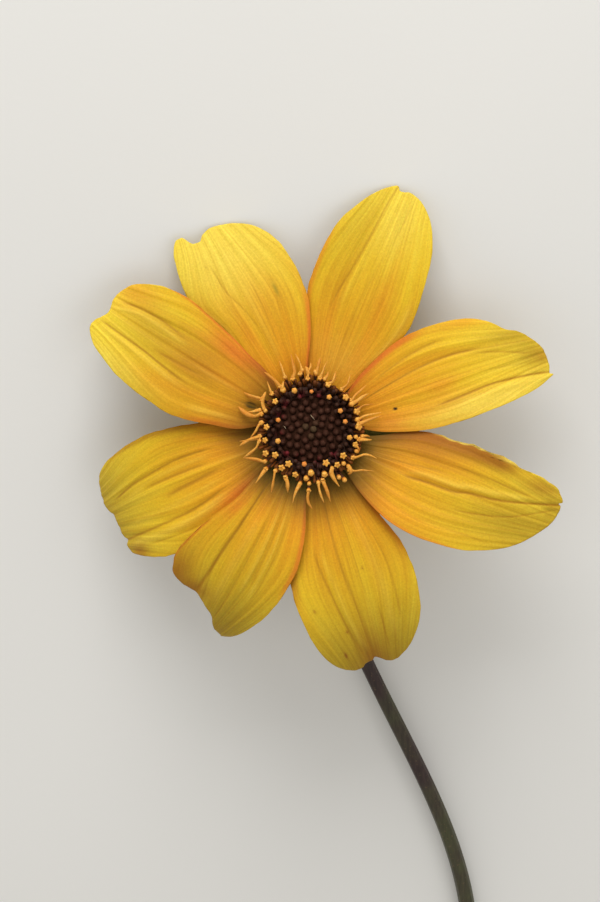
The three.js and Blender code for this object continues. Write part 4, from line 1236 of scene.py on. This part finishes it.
def ringed_shape(name, rings, sides, lobed, foot, summit, carries):
    """Closed shape round +Z, in millimetres: rings of radius, height, depth of the five lobes and the
    number that its points carry. lobed gives the radius at a turn, and the shape is closed by a point
    at the height of its foot and of its summit."""
    points, values, faces = [], [], []
    for radius, height, depth, value in rings:
        for k in range(sides):
            turn = FULL_TURN * k / sides
            reach = lobed(radius, depth, turn)
            points.append((reach * math.cos(turn), reach * math.sin(turn), height))
            values.append(value)
    points += [(0, 0, foot), (0, 0, summit)]
    values += [rings[0][3], rings[-1][3]]
    top = (len(rings) - 1) * sides
    around = [(k, (k + 1) % sides) for k in range(sides)]
    for low in range(0, top, sides):
        faces += [(low + k, low + n, low + sides + n, low + sides + k) for k, n in around]
    for k, n in around:
        faces += [(len(points) - 2, n, k), (len(points) - 1, top + k, top + n)]
    shape = make_object(name, np.array(points) * MM, faces)
    mark(shape, carries, values)
    shape.data.shade_smooth()
    return shape


def closed_bud(half):
    """Blunt bud with five soft lobes that close over its top, with its foot below 0."""
    profile = [
        (0.75, -0.5, 0), (1, 0, 0.1), (0.98, 0.28, 0.3), (0.8, 0.56, 0.55), (0.5, 0.76, 0.8), (0.2, 0.86, 1),
    ]
    rings = [(half * radius, height, top, top) for radius, height, top in profile]

    def lobed(radius, depth, turn):
        return radius * (1 + 0.1 * math.cos(5 * turn) * depth)

    return ringed_shape("closed_bud", rings, 10, lobed, -0.5, 0.86, "top")


def open_floret(name, rings, sides, sharpness=1.0):
    """Floret with its mouth near 0, and lobes as pointed as the sharpness says."""
    def lobed(radius, depth, turn):
        wave = 0.5 + 0.5 * math.cos(5 * turn)
        return radius * (1 - depth * (1 - wave ** sharpness))

    summit = rings[-1][1] - 0.1 * rings[-1][0]
    return ringed_shape(name, rings, sides, lobed, rings[0][1], summit, "gilt")


def star_floret(mouth):
    """Open floret: a dark tube that widens to a star of five pointed lobes."""
    return open_floret("star_floret", [
        (0.3, -2.5, 0, 0), (0.33, -0.9, 0, 0.15), (0.42, -0.35, 0.1, 0.7),
        (0.94 * mouth, -0.2, 0.34, 0.9), (1.04 * mouth, 0, 0.38, 1),
        (0.8 * mouth, 0.2, 0.34, 1), (0.34 * mouth, 0.14, 0.1, 0.86),
    ], 30, 0.9)


def ball_floret(mouth):
    """Floret that is about to open: five lobes closed in a round knob on a dark tube."""
    return open_floret("ball_floret", [
        (0.28, -2.5, 0, 0), (0.32, -0.9, 0, 0.15), (0.42, -0.45, 0.05, 0.6),
        (0.84 * mouth, -0.18, 0.14, 0.9), (0.86 * mouth, 0.06, 0.18, 1),
        (0.6 * mouth, 0.3, 0.2, 1), (0.2 * mouth, 0.38, 0.1, 0.95),
    ], 20, 0.8)


def dark_floret():
    """Closed dark tube between the open ones, with a blunt tip."""
    return open_floret("dark_floret", [
        (0.3, -2.2, 0, 0), (0.4, -0.8, 0.05, 0.05), (0.48, -0.2, 0.12, 0.12),
        (0.34, 0.08, 0.15, 0.2), (0.1, 0.16, 0, 0.2),
    ], 10)


def rooted_points(name, tips, sizes, young):
    """Points that florets stand on, each with its aim away from a foot in the band."""
    reach = np.hypot(tips[:, 0], tips[:, 1])
    foot = np.clip(reach * FOOT_SHARE, *FOOT_REACH) / reach
    feet = np.stack([tips[:, 0] * foot, tips[:, 1] * foot, np.full(len(tips), FLORET_FOOT)], axis=1)
    aim = tips - feet
    points = make_object(name, tips * MM, [])
    mark(points, "aim", aim / np.linalg.norm(aim, axis=1)[:, None])
    mark(points, "size", sizes)
    mark(points, "young", young)
    return points


def floret_spacing(looks):
    """Spacing of the spiral: florets lie at its product with the root of their number."""
    return (DISC_RADIUS - CLOSED_HALF) / math.sqrt(looks.closed_count)


def dark_places(looks, taken):
    """Places of closed tubes in the ring: the spiral goes on where no open floret stands."""
    places = []
    for k in range(looks.closed_count, RING_FLORETS):
        reach, turn = floret_spacing(looks) * math.sqrt(k + 0.5), k * GOLDEN_ANGLE
        x, y = reach * math.cos(turn), reach * math.sin(turn)
        if all(math.hypot(x - a, y - b) > TUBE_GAP for a, b, *_ in taken):
            places.append((x, y, TUBE_SIZE, 0))
    return places


def fringe_places():
    """Places of the brown florets round the outer edge of the ring, each with its size and how
    brown it is."""
    count = FRINGE["count"]
    draws = np.random.default_rng(FRINGE["seed"]).uniform(0, 1, (count, 3))
    turn = FULL_TURN * (np.arange(count) + 0.7 * draws[:, 0]) / count
    reach = FRINGE["reach"] + FRINGE["scatter"] * draws[:, 1]
    size, brown = 0.7 + 0.2 * draws[:, 2], 0.35 + 0.65 * draws[:, 1]
    return np.stack([reach * np.cos(turn), reach * np.sin(turn), size, brown], axis=1)


def mark_crimson(piece):
    """Marks the points that lie near the crimson tips, from 0 to 1."""
    where = np.array([vert.co[:2] for vert in piece.data.vertices]) / MM
    near = [bump_at(np.hypot(*(where - place).T), 0, 0.55) for place in CRIMSON_TIPS]
    mark(piece, "crimson", np.max(near, axis=0))


def mouth_height(x, y):
    """Height of a floret's mouth over the petal bases: the ring stands highest next to the disc."""
    outward = smoothstep((np.hypot(x, y) - MOUTHS["start"]) / MOUTHS["width"])
    return MOUTHS["level"] - MOUTHS["fall"] * outward


def strand_path(number, flame):
    """Points, thickness and gilt of an outer floret: up from the band as a dark tube, and out as a
    gold strand."""
    slender = 0.72 if max(flame[0]) > 7.5 else 0.94
    stout = slender * (1 + 0.2 * math.sin(2.4 * number))
    mouth = np.array(flame[0])
    level = mouth_height(*mouth) - 0.15
    reach = np.hypot(*mouth)
    foot = mouth / reach * min(reach * 0.85, 7.9)
    line = [(*foot, STRAND_FOOT), (*(foot * 0.35 + mouth * 0.65), STRAND_MIDDLE), (*mouth, level)]
    width = [0.28, 0.3, 0.4]
    steps = len(flame) - 1
    for k, (x, y) in enumerate(flame[1:], 1):
        share = k / steps
        arch = math.sin(math.pi * share)
        line.append((x, y, level - 0.35 * share + 0.25 * arch))
        knots = 1 + 0.2 * math.sin(5 * share + 1.7 * number)
        width.append(stout * (0.07 if k == steps else knots * (0.22 + 0.16 * arch)))
    shine = 0.88 + 0.06 * math.cos(3.7 * number)
    return line, width, [0.0, 0.1, 0.84] + [shine] * steps


def thread_path(thread):
    """Points, thickness and paleness of a thread that lies on the disc."""
    line = [(x, y, THREAD_HEIGHT) for x, y in thread]
    inner = len(thread) - 2
    return line, [0.04, *[0.07] * inner, 0.04], [1.3] * len(thread)


def strand_paths():
    """Paths of the strands and the threads, as one object that the sweep follows."""
    paths = [strand_path(number, flame) for number, flame in enumerate(FLAMES)]
    paths += [thread_path(thread) for thread in THREADS]
    points, edges, thick, gilt = [], [], [], []
    for line, width, gold in paths:
        edges += [(len(points) + k, len(points) + k + 1) for k in range(len(line) - 1)]
        points += line
        thick += width
        gilt += gold
    piece = make_object("strand_paths", np.array(points) * MM, [], edges)
    mark(piece, "thick", np.array(thick) * MM)
    mark(piece, "gilt", gilt)
    return piece


# Bracts

def bract_blade(ring, looks):
    """One bract in direction 0: its sides swell past the foot and narrow to a blunt tip."""
    def along(u, v):
        return u * (BRACT_SHOULDER + (1 - BRACT_SHOULDER) * np.sqrt(np.maximum(1 - v * v, 0)))

    def place(u, v, side):
        t = along(u, v)
        swell = BRACT_FOOT_SHARE + (1 - BRACT_FOOT_SHARE) * np.sin(math.pi * t)
        b = v * ring["half"] * swell * (1 - BRACT_TIP_NARROWING * t ** 3)
        cup = 0.35 * v * v * np.sin(math.pi * np.clip(t, 0, 1))
        ribs = 0.06 * np.cos(7 * math.pi * v) * (1 - v ** 4)
        h = cup + ribs + side * looks.thickness / MM / 2 * (1 - 0.6 * np.abs(v) ** 6)
        return on_midline(ring, 0, ring["radius"], ring["height"], t, b, h)

    def paint(u, v, side):
        tip = 0.6 * smoothstep((along(u, v) - 0.55) / 0.45)
        blush = np.clip(0.7 * np.abs(v) ** 3 + tip + 0.15 * (side < 0), 0, 1)
        return np.stack([blush] * 3, axis=1)

    return blade("bract", BRACT_ROWS, BRACT_COLUMNS, place, paint, lambda u, v: (v * 0.5 + 0.5, u))


def bract_ring(name, ring, collar, material, looks, tree):
    """Ring of bracts on its collar, as one piece in the table's frame."""
    bract = bract_blade(ring, looks)
    piece = grow(lathe(name, collar, 48), tree, {
        "Bract": bract, "Count": ring["count"], "Start": math.radians(ring["start"]), "Material": material,
    })
    piece.data.transform(HEAD)
    drop(bract)
    return piece


# Stem

def stem_path():
    """Path of the receptacle and stem in the table's frame, with its thickness and age from 0 to 1."""
    axis = np.array(HEAD.to_3x3() @ Vector((0, 0, 1)))
    radii, levels = np.array(RECEPTACLE).T
    heights = np.linspace(levels[0], levels[-1], RECEPTACLE_STEPS)
    thick = list(np.interp(-heights, -levels, radii))
    points = [np.array(HEAD_CENTRE) / MM + axis * height for height in heights]
    start, bend = points[-1], math.pi / 2 - HEAD_LEAN
    inward = np.array([0, math.sin(bend), math.cos(bend)])
    for share in np.arange(1, NECK_STEPS + 1) / NECK_STEPS:
        turn = bend * share
        points.append(start + NECK_RADIUS * (inward * (1 - math.cos(turn)) - axis * math.sin(turn)))
        thick.append(radii[-1] + (STEM_RADIUS_NECK - radii[-1]) * share)
    level = points[-1]
    for share in np.arange(1, LYING_STEPS + 1) / LYING_STEPS:
        sway = LYING_SWAY * math.sin(math.pi * LYING_TURN * share) ** 2
        arch = LYING_ARCH * math.sin(math.pi * share) ** 2
        sunk = (STEM_RADIUS_CUT - level[2]) * smoothstep(share)
        points.append(level + np.array([sway, LYING_LENGTH * share, sunk + arch]))
        thick.append(STEM_RADIUS_NECK + (STEM_RADIUS_CUT - STEM_RADIUS_NECK) * share)
    return np.array(points), np.array(thick), np.linspace(0, 1, len(points))


def hollow_cut(piece):
    """Small hollow with a pale ring in the cut end of the stem."""
    form = bmesh.new()
    form.from_mesh(piece.data)
    cut = form.verts.layers.float.new("cut")
    face = max((f for f in form.faces if len(f.verts) > 8), key=lambda f: f.calc_center_median().y)
    for inset, depth, paleness in CUT_STEPS:
        bmesh.ops.inset_individual(form, faces=[face], thickness=inset * MM, depth=depth * MM)
        for vert in face.verts:
            vert[cut] = paleness
    form.to_mesh(piece.data)
    form.free()


def face_outward(piece):
    """Turns all faces of closed bodies outward."""
    form = bmesh.new()
    form.from_mesh(piece.data)
    bmesh.ops.recalc_face_normals(form, faces=form.faces)
    form.to_mesh(piece.data)
    form.free()


def dress(piece, node):
    """Puts the piece under its body and hides the node of the model that it stands for."""
    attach(piece, BODY)
    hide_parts(node)


class DAHLIA_OT_ray_petals(bpy.types.Operator):
    """Build the eight ray petals"""
    bl_idname = "dahlia.ray_petals"
    bl_label = "Ray petals"

    def execute(self, context):
        looks = context.scene.dahlia_petals
        material = petal_material()
        for number, petal in enumerate(PETALS, 1):
            piece = ray_petal(number, petal, looks)
            piece.data.transform(HEAD)
            piece.data.materials.append(material)
            dress(piece, f"ray_petal_{number}")
        return {"FINISHED"}


class DAHLIA_OT_closed_florets(bpy.types.Operator):
    """Build the dome of closed florets in its spiral"""
    bl_idname = "dahlia.closed_florets"
    bl_label = "Closed florets"

    def execute(self, context):
        looks = context.scene.dahlia_disc
        bud = closed_bud(looks.closed_size / MM)
        piece = grow(lathe("closed_florets", DOME, 64), spiral_tree(), {
            "Floret": bud, "Count": looks.closed_count, "Spacing": floret_spacing(looks) * MM,
            "Material": bud_material(looks),
        })
        mark_crimson(piece)
        piece.data.transform(HEAD)
        piece.data.shade_smooth()
        drop(bud)
        dress(piece, "closed_disc_florets")
        return {"FINISHED"}


class DAHLIA_OT_open_florets(bpy.types.Operator):
    """Build the ring of open florets: stars, knobs, dark tubes and long strands"""
    bl_idname = "dahlia.open_florets"
    bl_label = "Open florets"

    def execute(self, context):
        looks = context.scene.dahlia_disc
        material = open_material(looks)
        mouth = looks.mouth / MM
        heads = [(*flame[0], FLAME_HEAD, 0.1) for flame in FLAMES]
        stars, balls = STARS + heads[::2], BALLS + heads[1::2]
        tubes = [*dark_places(looks, stars + balls), *fringe_places()]
        parts = [lathe("band", BAND, 96)]
        tree = rooted_tree()
        kinds = (
            (star_floret(mouth), stars, 0.0),
            (ball_floret(mouth), balls, 0.15),
            (dark_floret(), tubes, 0.85),
        )
        for shape, rows, sunk in kinds:
            x, y, sizes, young = np.array(rows).T
            tips = np.stack([x, y, mouth_height(x, y) - sunk], axis=1)
            points = rooted_points(shape.name + "s", tips, sizes, young)
            parts.append(grow(points, tree, {"Floret": shape, "Material": material}))
            drop(shape)
        parts.append(grow(strand_paths(), swept_tree(), {
            "Sides": 8, "Ribs": 2, "Rib Depth": 0.45, "Twist": 0.35, "Steps": 3, "Material": material,
        }))
        parts[0].data.materials.append(material)
        piece = join("open_florets", parts)
        mark_crimson(piece)
        face_outward(piece)
        piece.data.transform(HEAD)
        piece.data.shade_smooth()
        dress(piece, "open_disc_florets")
        return {"FINISHED"}


class DAHLIA_OT_bracts(bpy.types.Operator):
    """Build the thin inner bracts and the leafy outer bracts"""
    bl_idname = "dahlia.bracts"
    bl_label = "Bracts"

    def execute(self, context):
        looks = context.scene.dahlia_greens
        tree = ring_tree()
        rings = {
            "inner_bracts": (INNER_BRACTS, INNER_COLLAR, tuple(looks.inner), tone(120, 104, 60), 0.55),
            "outer_bracts": (OUTER_BRACTS, OUTER_COLLAR, tuple(looks.outer), tuple(looks.bronze), 0.5),
        }
        for node, (ring, collar, green, blush, roughness) in rings.items():
            material = leaf_material(node + "_leaf", green, blush, roughness)
            piece = bract_ring(node + "_veined", ring, collar, material, looks, tree)
            dress(piece, node)
        return {"FINISHED"}


class DAHLIA_OT_stem(bpy.types.Operator):
    """Build the receptacle with the stem that grows out of it"""
    bl_idname = "dahlia.stem"
    bl_label = "Stem"

    def execute(self, context):
        points, thick, age = stem_path()
        edges = [(k, k + 1) for k in range(len(points) - 1)]
        path = make_object("bronze_stem", points * MM, [], edges)
        mark(path, "thick", thick * MM)
        mark(path, "age", age)
        piece = grow(path, swept_tree(), {
            "Sides": 48, "Ribs": 8, "Rib Depth": 0.06, "Steps": 1,
            "Material": stem_material(context.scene.dahlia_greens),
        })
        hollow_cut(piece)
        face_outward(piece)
        piece.data.shade_smooth()
        dress(piece, "receptacle_and_stem")
        return {"FINISHED"}


def pale_floor(looks):
    """Broad matt floor with a faint mottle."""
    corners = [(x, y, 0) for x, y in ((-1, -1), (1, -1), (1, 1), (-1, 1))]
    floor = make_object("floor", np.array(corners) * FLOOR_HALF, [(0, 1, 2, 3)])
    material, tree, shader = new_material("pale_floor", 0.8, specular=0.2)
    place = object_place(tree)
    share = ranged(tree, noise(tree, place, 6.0, detail=2.0), 0.3, 0.7)
    pale = mixed(tree, share, tuple(looks.floor), tuple(c * 0.97 for c in looks.floor))
    paint_shader(tree, shader, pale, noise(tree, place, 900.0), 0.02 * MM)
    floor.data.materials.append(material)
    return floor


class DAHLIA_OT_stage(bpy.types.Operator):
    """Build the pale floor, the soft lights and the camera"""
    bl_idname = "dahlia.stage"
    bl_label = "Stage"

    def execute(self, context):
        looks = context.scene.dahlia_stage
        scene = context.scene
        pale_floor(looks)

        world = bpy.data.worlds.new("soft_sky")
        world.use_nodes = True
        sky = world.node_tree.nodes["Background"].inputs
        sky["Color"].default_value = (1.0, 0.975, 0.93, 1.0)
        sky["Strength"].default_value = looks.sky
        scene.world = world

        for name, power in (("key_light", looks.key), ("fill_light", looks.fill)):
            where, size = LIGHTS[name]
            light = bpy.data.lights.new(name, "AREA")
            light.size, light.energy = size, power
            lamp = bpy.data.objects.new(name, light)
            away = (HEAD.to_3x3() @ Vector(where)).normalized()
            lamp.location = HEAD_CENTRE + away * LIGHT_DISTANCE
            lamp.rotation_euler = away.to_track_quat("Z", "Y").to_euler()
            scene.collection.objects.link(lamp)

        camera = bpy.data.cameras.new("camera")
        camera.lens = CAMERA_LENS
        camera.clip_start, camera.clip_end = 0.02, 20
        eye = bpy.data.objects.new("camera", camera)
        eye.matrix_world = HEAD @ Matrix.Translation(CAMERA_PLACE)
        scene.collection.objects.link(eye)
        scene.camera = eye
        scene.view_settings.view_transform = "Standard"
        return {"FINISHED"}


class DAHLIA_PT_parts(bpy.types.Panel):
    """Pieces of the dahlia"""
    bl_idname = "DAHLIA_PT_parts"
    bl_label = "Single yellow dahlia"
    bl_space_type = "VIEW_3D"
    bl_region_type = "UI"
    bl_category = "Dahlia"

    def draw(self, context):
        for operator in OPERATORS:
            self.layout.operator(operator.bl_idname)
        for settings in SETTINGS:
            group = getattr(context.scene, settings)
            for name in group.__annotations__:
                self.layout.prop(group, name)


OPERATORS = (
    DAHLIA_OT_ray_petals, DAHLIA_OT_closed_florets, DAHLIA_OT_open_florets,
    DAHLIA_OT_bracts, DAHLIA_OT_stem, DAHLIA_OT_stage,
)
SETTINGS = {
    "dahlia_petals": PetalSettings, "dahlia_disc": DiscSettings,
    "dahlia_greens": GreenSettings, "dahlia_stage": StageSettings,
}
CLASSES = (*SETTINGS.values(), *OPERATORS, DAHLIA_PT_parts)


def register():
    for item in CLASSES:
        bpy.utils.register_class(item)
    for name, group in SETTINGS.items():
        setattr(bpy.types.Scene, name, PointerProperty(type=group))


def unregister():
    for name in SETTINGS:
        delattr(bpy.types.Scene, name)
    for item in reversed(CLASSES):
        bpy.utils.unregister_class(item)


def main():
    register()
    bpy.ops.dahlia.ray_petals()
    bpy.ops.dahlia.closed_florets()
    bpy.ops.dahlia.open_florets()
    bpy.ops.dahlia.bracts()
    bpy.ops.dahlia.stem()
    bpy.ops.dahlia.stage()


if __name__ == "__main__":
    main()
